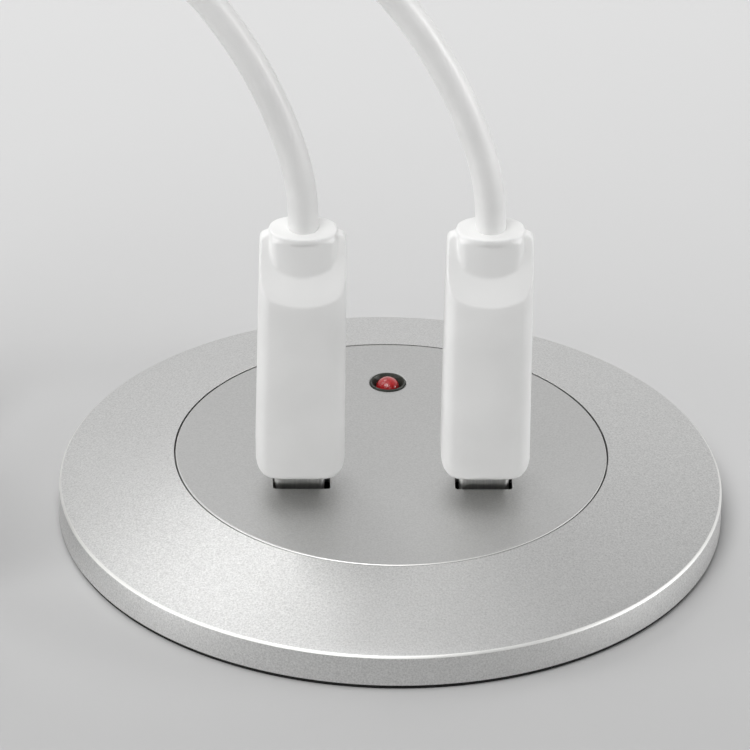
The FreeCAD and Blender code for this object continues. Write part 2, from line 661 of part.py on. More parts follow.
def main_board():
    """Upright board in the barrel's guides; its two tabs stand in slots of the port board."""
    card = box(-CARD_HALF_WIDTH, CARD_HALF_WIDTH, CARD_FRONT_Y, CARD_BACK_Y, CARD_BOTTOM, PORT_BOARD_BOTTOM)
    return card.multiFuse(card_tabs()).removeSplitter()


def transformer_window():
    """The two windows of the core, joined across the middle leg."""
    low_y = CARD_FRONT_Y - CORE_DEPTH + CORE_YOKE
    high_y = CARD_FRONT_Y - CORE_YOKE
    return low_y, high_y


def transformer_core():
    low_y, high_y = transformer_window()
    block = box(-CORE_HALF_X, CORE_HALF_X, CARD_FRONT_Y - CORE_DEPTH, CARD_FRONT_Y, CORE_BOTTOM, CORE_TOP)
    windows = [box(low, high, low_y, high_y, CORE_BOTTOM, CORE_TOP)
               for low, high in ((-WINDING_HALF_X, -CORE_LEG_HALF), (CORE_LEG_HALF, WINDING_HALF_X))]
    return block.cut(Part.makeCompound(windows))


def transformer_winding():
    """Copper round the core's middle leg, its axis along Y."""
    low_y, high_y = transformer_window()
    height = CORE_TOP - CORE_BOTTOM + 2 * WINDING_OVERHANG
    shape = rounded_prism(2 * WINDING_HALF_X, height, WINDING_CORNER, 0, high_y - low_y)
    shape.rotate(Vector(0, 0, 0), Vector(1, 0, 0), 90)
    shape.translate(Vector(0, high_y, (CORE_TOP + CORE_BOTTOM) / 2))
    return shape.cut(box(-CORE_LEG_HALF, CORE_LEG_HALF, low_y, high_y, CORE_BOTTOM, CORE_TOP))


def bulk_capacitors():
    return Part.makeCompound([lying_can(BULK_RADIUS, BULK_LENGTH, CAN_BEVEL, x, z) for x, z in BULK_SPOTS])


def output_capacitors():
    cans = [lying_can(OUTPUT_RADIUS, OUTPUT_LENGTH, CAN_BEVEL, x, z) for x, z in OUTPUT_SPOTS]
    return Part.makeCompound(cans)


def input_choke():
    ring = lying_can(CHOKE_OUTER_RADIUS, CHOKE_THICKNESS, CHOKE_BEVEL, CHOKE_X, CHOKE_Z)
    start = Vector(CHOKE_X, CARD_FRONT_Y, CHOKE_Z)
    return ring.cut(Part.makeCylinder(CHOKE_INNER_RADIUS, CHOKE_THICKNESS, start, Vector(0, -1, 0)))


def film_capacitor():
    return box(-FILM_HALF_X, FILM_HALF_X, CARD_FRONT_Y - FILM_DEPTH, CARD_FRONT_Y, FILM_BOTTOM, FILM_TOP)


def fuse():
    """Glass fuse between two square holders on the main board."""
    half = FUSE_HOLDER / 2
    y = CARD_FRONT_Y - half
    tube = Part.makeCylinder(FUSE_RADIUS, FUSE_LENGTH, Vector(FUSE_X, y, FUSE_Z), Vector(1, 0, 0))
    far_end = FUSE_X + FUSE_LENGTH
    holders = [box(low, low + FUSE_HOLDER_LENGTH, y - half, y + half, FUSE_Z - half, FUSE_Z + half)
               for low in (FUSE_X, far_end - FUSE_HOLDER_LENGTH)]
    return tube.multiFuse(holders)


def driver_chips():
    half = CHIP_SIZE / 2
    chips = [box(x - half, x + half, CARD_BACK_Y, CARD_BACK_Y + CHIP_THICKNESS, z - half, z + half)
             for x in (-CHIP_X, CHIP_X) for z in (CHIP_UPPER_Z, CHIP_LOWER_Z)]
    return Part.makeCompound(chips)


def heat_sink():
    """Finned plate on the backs of the driver chips."""
    base_y = CARD_BACK_Y + CHIP_THICKNESS
    fin_y = base_y + SINK_BASE
    base = box(-SINK_HALF_X, SINK_HALF_X, base_y, fin_y, SINK_BOTTOM, SINK_TOP)
    pitch = (2 * SINK_HALF_X - SINK_FIN_THICKNESS) / (SINK_FIN_COUNT - 1)
    fins = []
    for i in range(SINK_FIN_COUNT):
        x = -SINK_HALF_X + i * pitch
        fins.append(box(x, x + SINK_FIN_THICKNESS, fin_y, fin_y + SINK_FIN_REACH, SINK_BOTTOM, SINK_TOP))
    return base.multiFuse(fins).removeSplitter()


def usb_socket(x):
    """Drawn steel shell of a socket, standing on the port board."""
    width = SOCKET_OPEN_WIDTH + 2 * SOCKET_WALL
    thickness = SOCKET_OPEN_THICKNESS + 2 * SOCKET_WALL
    outer = rounded_prism(width, thickness, thickness / 2, PORT_BOARD_TOP, SOCKET_MOUTH, x, SOCKET_Y)
    inner = rounded_prism(SOCKET_OPEN_WIDTH, SOCKET_OPEN_THICKNESS, SOCKET_OPEN_THICKNESS / 2,
                          PORT_BOARD_TOP, SOCKET_MOUTH, x, SOCKET_Y)
    return outer.cut(inner)


def socket_tongue(x):
    """Plastic base that fills the foot of the shell, with the contact tongue on it."""
    base_top = PORT_BOARD_TOP + SOCKET_BASE_HEIGHT
    base = rounded_prism(SOCKET_OPEN_WIDTH, SOCKET_OPEN_THICKNESS, SOCKET_OPEN_THICKNESS / 2,
                         PORT_BOARD_TOP, base_top, x, SOCKET_Y)
    half_width = TONGUE_WIDTH / 2
    half_thickness = TONGUE_THICKNESS / 2
    tongue = box(x - half_width, x + half_width, SOCKET_Y - half_thickness, SOCKET_Y + half_thickness,
                 base_top, TONGUE_TOP)
    return base.fuse(tongue)


def power_led():
    """Round red light with a domed top and a flange that stops under the clip."""
    flange_top = PLATE_BOTTOM - CLIP_FLANGE
    flange = cylinder(LED_FLANGE_RADIUS, flange_top - LED_FLANGE, flange_top, 0, LIGHT_Y)
    body = cylinder(LED_RADIUS, flange_top, LED_DOME_CENTRE, 0, LIGHT_Y)
    dome = Part.makeSphere(LED_RADIUS, Vector(0, LIGHT_Y, LED_DOME_CENTRE))
    return flange.multiFuse([body, dome]).removeSplitter()


def led_clip():
    """Dark sleeve pressed into the plate's hole from behind."""
    flange_low = PLATE_BOTTOM - CLIP_FLANGE
    sleeve = cylinder(CLIP_OUTER_RADIUS, flange_low, CLIP_TOP, 0, LIGHT_Y)
    flange = cylinder(CLIP_FLANGE_RADIUS, flange_low, PLATE_BOTTOM, 0, LIGHT_Y)
    bore = cylinder(LED_RADIUS + LED_CLEARANCE, flange_low, CLIP_TOP, 0, LIGHT_Y)
    return sleeve.fuse(flange).cut(bore)


def led_legs():
    leg_top = PLATE_BOTTOM - CLIP_FLANGE - LED_FLANGE
    return Part.makeCompound([cylinder(LEG_RADIUS, LEG_BOTTOM, leg_top, x, LIGHT_Y) for x in (-LEG_X, LEG_X)])


def oval_face(width, thickness, face_radius, corner):
    """Rounded block in the plane Z = 0: broad arcs front and back, flat sides, a round corner between."""
    half_width = width / 2
    centre_y = face_radius - thickness / 2
    corner_x = half_width - corner
    corner_y = math.sqrt((face_radius - corner) ** 2 - corner_x ** 2) - centre_y
    toward = Vector(corner_x, corner_y + centre_y, 0).normalize()
    slant = Vector(1 + toward.x, toward.y, 0).normalize()
    side = Vector(half_width, corner_y, 0)
    middle = Vector(corner_x, corner_y, 0) + slant * corner
    join = Vector(toward.x * face_radius, toward.y * face_radius - centre_y, 0)

    def turned_to(spot, i, j):
        return Vector(i * spot.x, j * spot.y, 0)

    edges = []
    for i in (1, -1):
        edges.append(straight_edge(turned_to(side, i, -1), turned_to(side, i, 1)))
        edges += [Part.Arc(turned_to(side, i, j), turned_to(middle, i, j), turned_to(join, i, j)).toShape()
                  for j in (1, -1)]
    for j in (1, -1):
        crown = Vector(0, j * thickness / 2, 0)
        edges.append(Part.Arc(turned_to(join, 1, j), crown, turned_to(join, -1, j)).toShape())
    return Part.Face(Part.Wire(Part.__sortEdges__(edges)))


def plug_front_prism():
    """Outline of the plug seen from the front: slight taper, round lower and upper corners."""
    low_half = PLUG_WIDTH / 2
    high_half = PLUG_TOP_WIDTH / 2
    depth = PLUG_THICKNESS
    corners = [Vector(-low_half, -depth, 0), Vector(low_half, -depth, 0),
               Vector(high_half, -depth, RIDGE_Z), Vector(-high_half, -depth, RIDGE_Z)]
    prism = Part.Face(Part.makePolygon(corners + corners[:1])).extrude(Vector(0, 2 * depth, 0))
    low_edges = [edge for edge in prism.Edges if edge.BoundBox.ZMax < 1 and edge.BoundBox.YLength > depth]
    high_edges = [edge for edge in prism.Edges
                  if edge.BoundBox.ZMin > RIDGE_Z - 1 and edge.BoundBox.YLength > depth]
    prism = prism.makeFillet(PLUG_BOTTOM_CORNER, low_edges)
    high_edges = [edge for edge in prism.Edges
                  if edge.BoundBox.ZMin > RIDGE_Z - 1 and edge.BoundBox.YLength > depth]
    return prism.makeFillet(RIDGE_CORNER, high_edges)


def plug_side_prism():
    """Outline of the plug seen from the side: parallel faces, then a curved roof up to a narrow ridge."""
    half = PLUG_THICKNESS / 2
    lead = -PLUG_WIDTH
    low_left = Vector(lead, -half, 0)
    low_right = Vector(lead, half, 0)
    crease_left = Vector(lead, -half, PLUG_CREASE)
    crease_right = Vector(lead, half, PLUG_CREASE)
    ridge_left = Vector(lead, -RIDGE_HALF, RIDGE_Z)
    ridge_right = Vector(lead, RIDGE_HALF, RIDGE_Z)
    edges = [
        straight_edge(low_left, low_right),
        straight_edge(low_right, crease_right),
        Part.Arc(crease_right, Vector(lead, ROOF_MIDDLE_Y, ROOF_MIDDLE_Z), ridge_right).toShape(),
        straight_edge(ridge_right, ridge_left),
        Part.Arc(ridge_left, Vector(lead, -ROOF_MIDDLE_Y, ROOF_MIDDLE_Z), crease_left).toShape(),
        straight_edge(crease_left, low_left),
    ]
    return Part.Face(Part.Wire(edges)).extrude(Vector(2 * PLUG_WIDTH, 0, 0))


def plug_body():
    """Moulded grip of a plug with the collar that grips the cord."""
    grip = oval_face(PLUG_WIDTH, PLUG_THICKNESS, PLUG_FACE_RADIUS, PLUG_SIDE_CORNER)
    grip = grip.extrude(Vector(0, 0, RIDGE_Z))
    grip = grip.common(plug_front_prism()).common(plug_side_prism())
    collar = oval_face(COLLAR_WIDTH, COLLAR_THICKNESS, COLLAR_FACE_RADIUS, COLLAR_CORNER)
    collar = collar.extrude(Vector(0, 0, COLLAR_TOP - COLLAR_START))
    collar.translate(Vector(0, 0, COLLAR_START))
    lip = oval_face(LIP_WIDTH, LIP_THICKNESS, LIP_FACE_RADIUS, LIP_CORNER)
    lip = lip.extrude(Vector(0, 0, PLUG_LENGTH - COLLAR_TOP))
    lip.translate(Vector(0, 0, COLLAR_TOP))
    return grip.multiFuse([collar, lip]).removeSplitter()


def plug_nose():
    """Hollow metal nose of a plug, closed where it enters the grip."""
    outer = rounded_prism(NOSE_WIDTH, NOSE_THICKNESS, NOSE_THICKNESS / 2, -NOSE_LENGTH, 0)
    thin = NOSE_THICKNESS - 2 * NOSE_WALL
    cavity = rounded_prism(NOSE_WIDTH - 2 * NOSE_WALL, thin, thin / 2, -NOSE_LENGTH, NOSE_CAVITY - NOSE_LENGTH)
    return outer.cut(cavity)


def near(shape, x):
    """Place a plug piece upright in a socket."""
    placed = shape.copy()
    placed.translate(Vector(x, SOCKET_Y, PLUG_BOTTOM))
    return placed


def far(shape, side, exit_run, drop_run):
    """Lay a plug piece flat on the desk beyond a coil, pointing at -X."""
    placed = shape.copy()
    placed.rotate(Vector(0, 0, 0), Z_AXIS, 90)
    placed.rotate(Vector(0, 0, 0), Vector(0, 1, 0), 90)
    quarter = COIL_PITCH / 4
    cord_end_x = COIL_X - quarter - exit_run - drop_run - COIL_END_RUN
    placed.translate(Vector(cord_end_x - PLUG_LENGTH, side * (COIL_OUTER - quarter), FAR_PLUG_AXIS))
    return placed


def coil_path(side, base, exit_run, drop_run):
    """Path of a put-away coil: down the fall, in on the lower layer, up, out on the upper layer."""
    quarter = COIL_PITCH / 4
    half_step = COIL_PITCH / 2

    def spot(x, y, z):
        return Vector(COIL_X + x, side * y, base + z)

    def half_turn(x_from, x_to, z, way):
        middle = spot((x_from + x_to) / 2, way * abs(x_from - x_to) / 2, z)
        return Part.Arc(spot(x_from, 0, z), middle, spot(x_to, 0, z)).toShape()

    low = CORD_RADIUS
    fall_y = -FALL_Y
    bend_end_y = fall_y + COIL_BEND_RADIUS
    bend_top = spot(COIL_OUTER, fall_y, low + COIL_BEND_RADIUS)
    bend_end = spot(COIL_OUTER, bend_end_y, low)
    edges = [
        straight_edge(spot(COIL_OUTER, fall_y, FALL_END_Z), bend_top),
        corner_arc(bend_top, spot(COIL_OUTER, fall_y, low), bend_end)[0],
        straight_edge(bend_end, spot(COIL_OUTER, 0, low)),
    ]
    inward = [COIL_OUTER, -(COIL_OUTER - half_step), COIL_OUTER - 2 * half_step,
              -(COIL_OUTER - 3 * half_step), COIL_CLIMB_RADIUS]
    for i in range(4):
        edges.append(half_turn(inward[i], inward[i + 1], low, 1 if i % 2 == 0 else -1))
    climb_start = spot(COIL_CLIMB_RADIUS, 0, low)
    climb_end = spot(-COIL_CLIMB_RADIUS, 0, UPPER_LAYER)
    reach = (climb_end - climb_start).Length / 2
    climb_out = spot(COIL_CLIMB_RADIUS, reach, low)
    climb_back = spot(-COIL_CLIMB_RADIUS, reach, UPPER_LAYER)
    climb_middle = (climb_out + climb_back) * 0.5
    edges.append(corner_arc(climb_start, climb_out, climb_middle)[0])
    edges.append(corner_arc(climb_middle, climb_back, climb_end)[0])
    outward = [-COIL_CLIMB_RADIUS, COIL_OUTER - 3 * half_step, -(COIL_OUTER - 2 * half_step),
               COIL_OUTER - half_step]
    for i in range(3):
        edges.append(half_turn(outward[i], outward[i + 1], UPPER_LAYER, -1 if i % 2 == 0 else 1))
    last_radius = COIL_OUTER - quarter
    slant = last_radius * math.sqrt(0.5)
    exit_spot = spot(-quarter, last_radius, UPPER_LAYER)
    edges.append(Part.Arc(spot(outward[-1], 0, UPPER_LAYER), spot(slant - quarter, slant, UPPER_LAYER),
                          exit_spot).toShape())
    along = Vector(-1, 0, 0)
    drop = base + UPPER_LAYER - FAR_PLUG_AXIS
    drop_start = exit_spot + along * exit_run
    drop_end = drop_start + along * drop_run - Z_AXIS * drop
    reach = (drop_run ** 2 + drop ** 2) / (4 * drop_run)
    first_corner = drop_start + along * reach
    second_corner = drop_end - along * reach
    middle = (first_corner + second_corner) * 0.5
    edges.append(straight_edge(exit_spot, drop_start))
    edges.append(corner_arc(drop_start, first_corner, middle)[0])
    edges.append(corner_arc(middle, second_corner, drop_end)[0])
    edges.append(straight_edge(drop_end, drop_end + along * COIL_END_RUN))
    return edges


def print_self_gap(edges):
    """Least gap between two stretches of the same coil, measured on points along its path."""
    points = []
    for edge in edges:
        count = max(2, int(edge.Length / GAP_SAMPLE))
        points += edge.discretize(count + 1)[:-1]
    least = min((points[i] - points[j]).Length
                for i in range(len(points)) for j in range(i + GAP_SKIP, len(points)))
    print("least self-gap %.2f mm" % (least - 2 * CORD_RADIUS))


def coil(side, base, exit_run, drop_run):
    edges = coil_path(side, base, exit_run, drop_run)
    print_self_gap(edges)
    return swept_tube(edges, CORD_RADIUS)


def cord(route):
    return swept_tube(rounded_route(route), CORD_RADIUS)


def all_parts():
    grip = plug_body()
    nose = plug_nose()
    lower_end = (1, LOWER_EXIT_RUN, LOWER_DROP_RUN)
    upper_end = (-1, UPPER_EXIT_RUN, UPPER_DROP_RUN)
    return {
        "bezel_ring": bezel_ring(),
        "face_plate": face_plate(),
        "flange_gasket": flange_gasket(),
        "barrel": barrel(),
        "bezel_screws": bezel_screws(),
        "clamp_washer": clamp_washer(),
        "ring_nut": ring_nut(),
        "rear_cover": rear_cover(),
        "cover_screws": cover_screws(),
        "mains_inlet": mains_inlet(),
        "inlet_pins": inlet_pins(),
        "inlet_wires": inlet_wires(),
        "port_board": port_board(),
        "port_board_screws": port_board_screws(),
        "main_board": main_board(),
        "transformer_core": transformer_core(),
        "transformer_winding": transformer_winding(),
        "bulk_capacitors": bulk_capacitors(),
        "output_capacitors": output_capacitors(),
        "input_choke": input_choke(),
        "film_capacitor": film_capacitor(),
        "fuse": fuse(),
        "driver_chips": driver_chips(),
        "heat_sink": heat_sink(),
        "usb_socket_left": usb_socket(SOCKET_LEFT_X),
        "usb_socket_right": usb_socket(SOCKET_RIGHT_X),
        "socket_tongue_left": socket_tongue(SOCKET_LEFT_X),
        "socket_tongue_right": socket_tongue(SOCKET_RIGHT_X),
        "power_led": power_led(),
        "led_clip": led_clip(),
        "led_legs": led_legs(),
        "plug_body_left": near(grip, SOCKET_LEFT_X),
        "plug_body_right": near(grip, SOCKET_RIGHT_X),
        "plug_nose_left": near(nose, SOCKET_LEFT_X),
        "plug_nose_right": near(nose, SOCKET_RIGHT_X),
        "cord_left": cord(LEFT_ROUTE),
        "cord_right": cord(RIGHT_ROUTE),
        "coil_left": coil(1, 0, LOWER_EXIT_RUN, LOWER_DROP_RUN),
        "coil_right": coil(-1, UPPER_COIL_BASE, UPPER_EXIT_RUN, UPPER_DROP_RUN),
        "far_plug_body_left": far(grip, *lower_end),
        "far_plug_body_right": far(grip, *upper_end),
        "far_plug_nose_left": far(nose, *lower_end),
        "far_plug_nose_right": far(nose, *upper_end),
    }


os.makedirs("parts", exist_ok=True)
for node, shape in all_parts().items():
    if not shape.isValid() or not shape.Solids:
        raise ValueError("%s is not a valid solid" % node)
    shape.exportStep("parts/%s.step" % node)
    print("%-22s %3d solid(s) %10.1f mm3" % (node, len(shape.Solids), shape.Volume))
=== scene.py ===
import math

import bmesh
import bpy
from mathutils import Matrix, Vector


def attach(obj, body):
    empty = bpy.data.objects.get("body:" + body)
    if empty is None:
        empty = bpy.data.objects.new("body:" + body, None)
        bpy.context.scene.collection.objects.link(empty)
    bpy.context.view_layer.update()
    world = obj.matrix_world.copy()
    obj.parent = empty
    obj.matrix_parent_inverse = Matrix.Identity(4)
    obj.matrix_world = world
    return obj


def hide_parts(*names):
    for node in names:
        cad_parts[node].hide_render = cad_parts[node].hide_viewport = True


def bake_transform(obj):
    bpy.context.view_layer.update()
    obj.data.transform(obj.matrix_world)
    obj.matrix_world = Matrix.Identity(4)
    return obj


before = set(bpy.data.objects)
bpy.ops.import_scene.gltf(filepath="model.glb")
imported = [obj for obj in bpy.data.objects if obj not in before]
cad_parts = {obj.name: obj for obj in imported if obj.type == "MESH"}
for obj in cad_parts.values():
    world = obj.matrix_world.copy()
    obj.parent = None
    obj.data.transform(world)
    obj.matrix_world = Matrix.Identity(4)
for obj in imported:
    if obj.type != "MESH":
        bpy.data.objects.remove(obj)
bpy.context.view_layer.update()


# Camera. The photograph looks down on the charger from the front, 30 degrees above the desk, through a
# long lens. The angles and the scale come from the ellipses of the plate's groove and of the rim.
UP = Vector((0, 0, 1))
CAMERA_AZIMUTH, CAMERA_ELEVATION, CAMERA_ROLL = (math.radians(angle) for angle in (-1.9, 30.25, 1.13))
CAMERA_DISTANCE = 1.5
PIXELS_PER_METRE = 6011.0
FRAME_PIXELS = 750
ORIGIN_PIXEL = (389.9, 513.4)


def aim_camera():
    """Camera on the line of sight, moved sideways so that the origin falls on its pixel."""
    level = math.cos(CAMERA_ELEVATION)
    sight = -Vector((math.sin(CAMERA_AZIMUTH) * level, -math.cos(CAMERA_AZIMUTH) * level,
                     math.sin(CAMERA_ELEVATION)))
    side = sight.cross(UP).normalized()
    top = side.cross(sight)
    right = math.cos(CAMERA_ROLL) * side + math.sin(CAMERA_ROLL) * top
    upward = math.cos(CAMERA_ROLL) * top - math.sin(CAMERA_ROLL) * side
    focal_pixels = PIXELS_PER_METRE * CAMERA_DISTANCE
    offset_x = (ORIGIN_PIXEL[0] - FRAME_PIXELS / 2) / focal_pixels
    offset_y = (ORIGIN_PIXEL[1] - FRAME_PIXELS / 2) / focal_pixels
    place = -CAMERA_DISTANCE * (sight + offset_x * right - offset_y * upward)
    camera = bpy.data.objects.new("camera", bpy.data.cameras.new("camera"))
    camera.data.sensor_fit = "HORIZONTAL"
    camera.data.sensor_width = 36.0
    camera.data.lens = focal_pixels / FRAME_PIXELS * camera.data.sensor_width
    camera.matrix_world = Matrix((
        (right.x, upward.x, -sight.x, place.x),
        (right.y, upward.y, -sight.y, place.y),
        (right.z, upward.z, -sight.z, place.z),
        (0, 0, 0, 1)))
    bpy.context.scene.collection.objects.link(camera)
    bpy.context.scene.camera = camera


aim_camera()


# Cords. Each lead has one 5 mm white cord from its upright plug, over an arch to the left, down to the
# desk and round a neat put-away coil to the plug at its other end. Soft white PVC, extruded in one length.
MM = 0.001
CORD_RADIUS = 2.5 * MM
PLUG_TOP = 59.7
LEFT_ROUTE = [
    (-15.35, -9.2, PLUG_TOP), (-15.35, -9.2, 65.8), (-17.8, -9.2, 75.9), (-22.1, -9.2, 86.6),
    (-27.7, -9.2, 96.6), (-34.7, -9.2, 105.8), (-44.5, -9.2, 111.6), (-55.2, -9.2, 112.4),
    (-64.9, -10.8, 108.4), (-71.8, -14.2, 100.4), (-75.4, -19.2, 89.9), (-76.5, -25.2, 76.0),
    (-76.0, -29.8, 56.5), (-76.0, -29.8, 33.0)]
RIGHT_ROUTE = [
    (15.05, -9.2, PLUG_TOP), (15.05, -9.2, 65.8), (12.6, -9.2, 75.9), (8.3, -9.2, 86.6),
    (2.7, -9.2, 96.6), (-4.2, -9.2, 105.8), (-15.8, -6.7, 114.2), (-29.9, -1.6, 118.4),
    (-44.2, 4.9, 117.6), (-56.8, 11.7, 112.0), (-66.8, 18.6, 102.6), (-73.0, 24.6, 90.6),
    (-75.6, 28.6, 77.0), (-76.0, 29.8, 61.0), (-76.0, 29.8, 44.0)]
COIL_X = -107.0
UPPER_COIL_BASE = 11.0
COIL_OUTER = 31.0
COIL_PITCH = 5.5
COIL_CLIMB = 19.0
COIL_AXIS = 2.5
ENTRY_RADIUS = 28.0
ENTRY_SHIFT = 1.8
LYING_AXIS = 6.1
POINTS_PER_QUARTER = 4
EXIT_RUNS = {"left": (9.56, 16.44, 25.0), "right": (20.1, 29.9, 43.0)}


def turn_points(centre, outward, along, radius, quarters):
    """Control points outside an arc, so that the spline through their midpoints keeps its radius."""
    step = math.pi / 2 / POINTS_PER_QUARTER
    reach = radius / math.cos(step / 2)
    angles = [(i + 0.5) * step for i in range(quarters * POINTS_PER_QUARTER)]
    return [Vector(centre) + reach * (math.cos(a) * Vector(outward) + math.sin(a) * Vector(along))
            for a in angles]


def coil_points(side, base, runs):
    """The coil's turns: down to its base, in on the lower layer, up, out on the upper one, off to -X."""
    low, high = COIL_AXIS, COIL_AXIS + COIL_PITCH
    half = COIL_PITCH / 2
    points = turn_points((COIL_OUTER, -ENTRY_SHIFT, low + ENTRY_RADIUS), (0, -1, 0), (0, 0, -1),
                         ENTRY_RADIUS, 1)
    inward = [COIL_OUTER, half - COIL_OUTER, COIL_OUTER - 2 * half, 3 * half - COIL_OUTER, COIL_CLIMB]
    outward = [-COIL_CLIMB, COIL_OUTER - 3 * half, 2 * half - COIL_OUTER, COIL_OUTER - half,
               -COIL_OUTER]
    for level, ends, first in ((low, inward, 1), (high, outward, -1)):
        for i, (begin, end) in enumerate(zip(ends, ends[1:])):
            facing = (1 if begin > end else -1, 0, 0)
            way = (0, first if i % 2 == 0 else -first, 0)
            quarters = 1 if end == -COIL_OUTER else 2
            points += turn_points(((begin + end) / 2, 0, level), facing, way, abs(begin - end) / 2,
                                  quarters)
        if level == low:
            lean = Vector((-2 * COIL_CLIMB, 0, COIL_PITCH)).normalized()
            radius = math.hypot(2 * COIL_CLIMB, COIL_PITCH) / 2
            points += turn_points((0, 0, (low + high) / 2), -lean, (0, 1, 0), radius, 2)
    exit_x, exit_y = -COIL_PITCH / 4, COIL_OUTER - COIL_PITCH / 4
    plug_axis = LYING_AXIS - base
    points += [Vector((exit_x - run, exit_y, level))
               for run, level in zip(runs, (high, plug_axis, plug_axis))]
    return [(COIL_X + p.x, side * p.y, base + p.z) for p in points]


def smooth_path(name, points):
    """Curve object of one NURBS spline through control points given in millimetres."""
    curve = bpy.data.curves.new(name, "CURVE")
    curve.dimensions = "3D"
    curve.resolution_u = 6
    spline = curve.splines.new("NURBS")
    spline.points.add(len(points) - 1)
    for control, point in zip(spline.points, points):
        control.co = (*(Vector(point) * MM), 1)
    spline.order_u = 3
    spline.use_endpoint_u = True
    return bpy.data.objects.new(name, curve)


def baked(source):
    """Mesh of a curve or of an object with live modifiers, its place applied."""
    bpy.context.scene.collection.objects.link(source)
    bpy.context.view_layer.update()
    graph = bpy.context.evaluated_depsgraph_get()
    mesh = bpy.data.meshes.new_from_object(source.evaluated_get(graph))
    mesh.transform(source.matrix_world)
    bpy.data.objects.remove(source)
    return mesh


def linear(colour):
    """sRGB hex to the linear values that shaders take."""
    channels = [int(colour[i:i + 2], 16) / 255 for i in (1, 3, 5)]
    return [c / 12.92 if c <= 0.04045 else ((c + 0.055) / 1.055) ** 2.4 for c in channels] + [1.0]


def new_material(name):
    """Material with an empty node tree."""
    material = bpy.data.materials.new(name)
    material.use_nodes = True
    material.node_tree.nodes.clear()
    return material


def put(material, kind, inputs=(), **settings):
    """Add one node with its settings; an input is a value or the socket that feeds it."""
    node = material.node_tree.nodes.new(kind)
    for name, value in settings.items():
        setattr(node, name, value)
    for name, value in dict(inputs).items():
        if isinstance(value, bpy.types.NodeSocket):
            material.node_tree.links.new(value, node.inputs[name])
        else:
            node.inputs[name].default_value = value
    return node


def grain(material, size_mm, detail=2.0, roughness=0.5):
    """Noise in object space whose cells are about one size in millimetres across."""
    place = put(material, "ShaderNodeTexCoord").outputs["Object"]
    return put(material, "ShaderNodeTexNoise",
               {"Vector": place, "Scale": 1 / (size_mm * MM), "Detail": detail,
                "Roughness": roughness}).outputs["Fac"]


def tinted(material, factor, dark, light, low=0.3, high=0.7):
    """Colour that runs from dark to light as a factor goes from low to high."""
    spread = put(material, "ShaderNodeMapRange", {"Value": factor, "From Min": low, "From Max": high})
    return put(material, "ShaderNodeMix", {0: spread.outputs["Result"], 6: linear(dark), 7: linear(light)},
               data_type="RGBA").outputs[2]


def ranged(material, factor, low, high):
    """Number that runs from low to high over the middle of a factor's range."""
    return put(material, "ShaderNodeMapRange", {"Value": factor, "From Min": 0.3, "From Max": 0.7,
                                                "To Min": low, "To Max": high}).outputs["Result"]


def surfaced(material, height, depth_mm, **inputs):
    """Close a material with one shader, a bump of the given depth and the shader's own inputs."""
    bump = put(material, "ShaderNodeBump", {"Height": height, "Distance": depth_mm * MM, "Strength": 1.0})
    sockets = {name.replace("_", " "): value for name, value in inputs.items()}
    shader = put(material, "ShaderNodeBsdfPrincipled", {"Normal": bump.outputs["Normal"], **sockets})
    put(material, "ShaderNodeOutputMaterial", {"Surface": shader.outputs["BSDF"]})
    return material


def soft_pvc():
    """Extruded soft PVC: satin, faintly uneven along its length, with a little light let into it."""
    material = new_material("soft_white_pvc")
    broad = grain(material, 9.0)
    fine = grain(material, 0.5)
    return surfaced(material, fine, 0.012, Base_Color=tinted(material, broad, "#E9E9E8", "#F1F1F0"),
                    Roughness=ranged(material, broad, 0.36, 0.46), IOR=1.53,
                    Subsurface_Weight=0.12, Subsurface_Radius=(0.002, 0.002, 0.002), Subsurface_Scale=0.6)


def dress(piece, material):
    """Give a piece one material all over."""
    piece.data.materials.clear()
    piece.data.materials.append(material)


def added(name, mesh, material, body, slot, *nodes, sharp=35):
    """Put a finished mesh into the scene: its material, its body and the CAD nodes that it stands for."""
    piece = bpy.data.objects.new(name, mesh)
    bpy.context.scene.collection.objects.link(piece)
    mesh.shade_smooth()
    mesh.set_sharp_from_angle(angle=math.radians(sharp))
    dress(piece, material)
    if body:
        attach(piece, body)
    if nodes:
        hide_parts(*nodes)
    return piece


SOFT_PVC = soft_pvc()
for side_name, route, side, base in (("left", LEFT_ROUTE, 1, 0.0),
                                     ("right", RIGHT_ROUTE, -1, UPPER_COIL_BASE)):
    points = route + coil_points(side, base, EXIT_RUNS[side_name])
    line = baked(smooth_path("line", points))
    tube = smooth_path("tube", points)
    tube.data.bevel_depth = CORD_RADIUS
    tube.data.bevel_resolution = 6
    tube.data.use_fill_caps = True
    piece = added("lead_cord_" + side_name, baked(tube), SOFT_PVC, None, "cord",
                  "cord_" + side_name, "coil_" + side_name)
    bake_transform(piece)


# Plug grips. Each is white soft thermoplastic moulded over the plug: an oval block with a roof that slopes to
# a narrow ridge, and an oval collar with a lip where the cord comes out. Satin, with the mould's softness.
GRIP_BOTTOM = 15.5
GRIP_HALF_WIDTH = 7.3
GRIP_TOP_HALF_WIDTH = 7.02
GRIP_HALF_THICKNESS = 6.1
GRIP_RIDGE = 43.5
GRIP_CREASE = 32.5
GRIP_LENGTH = 44.2
FACE_RADIUS = 28.0
SIDE_CORNER = 2.4
FOOT_CORNER = 3.2
RIDGE_CORNER = 1.6
FOOT_EDGE = 0.6
RIDGE_HALF_THICKNESS = 0.9
COLLAR_OVAL = (5.2, 4.0, 16.0, 1.6)
COLLAR_FOOT, COLLAR_TOP = 34.0, 43.3
LIP_OVAL = (5.55, 4.25, 8.0, 3.5)
LIP_FOOT = 43.1
MOULD_SOFTNESS = 0.22


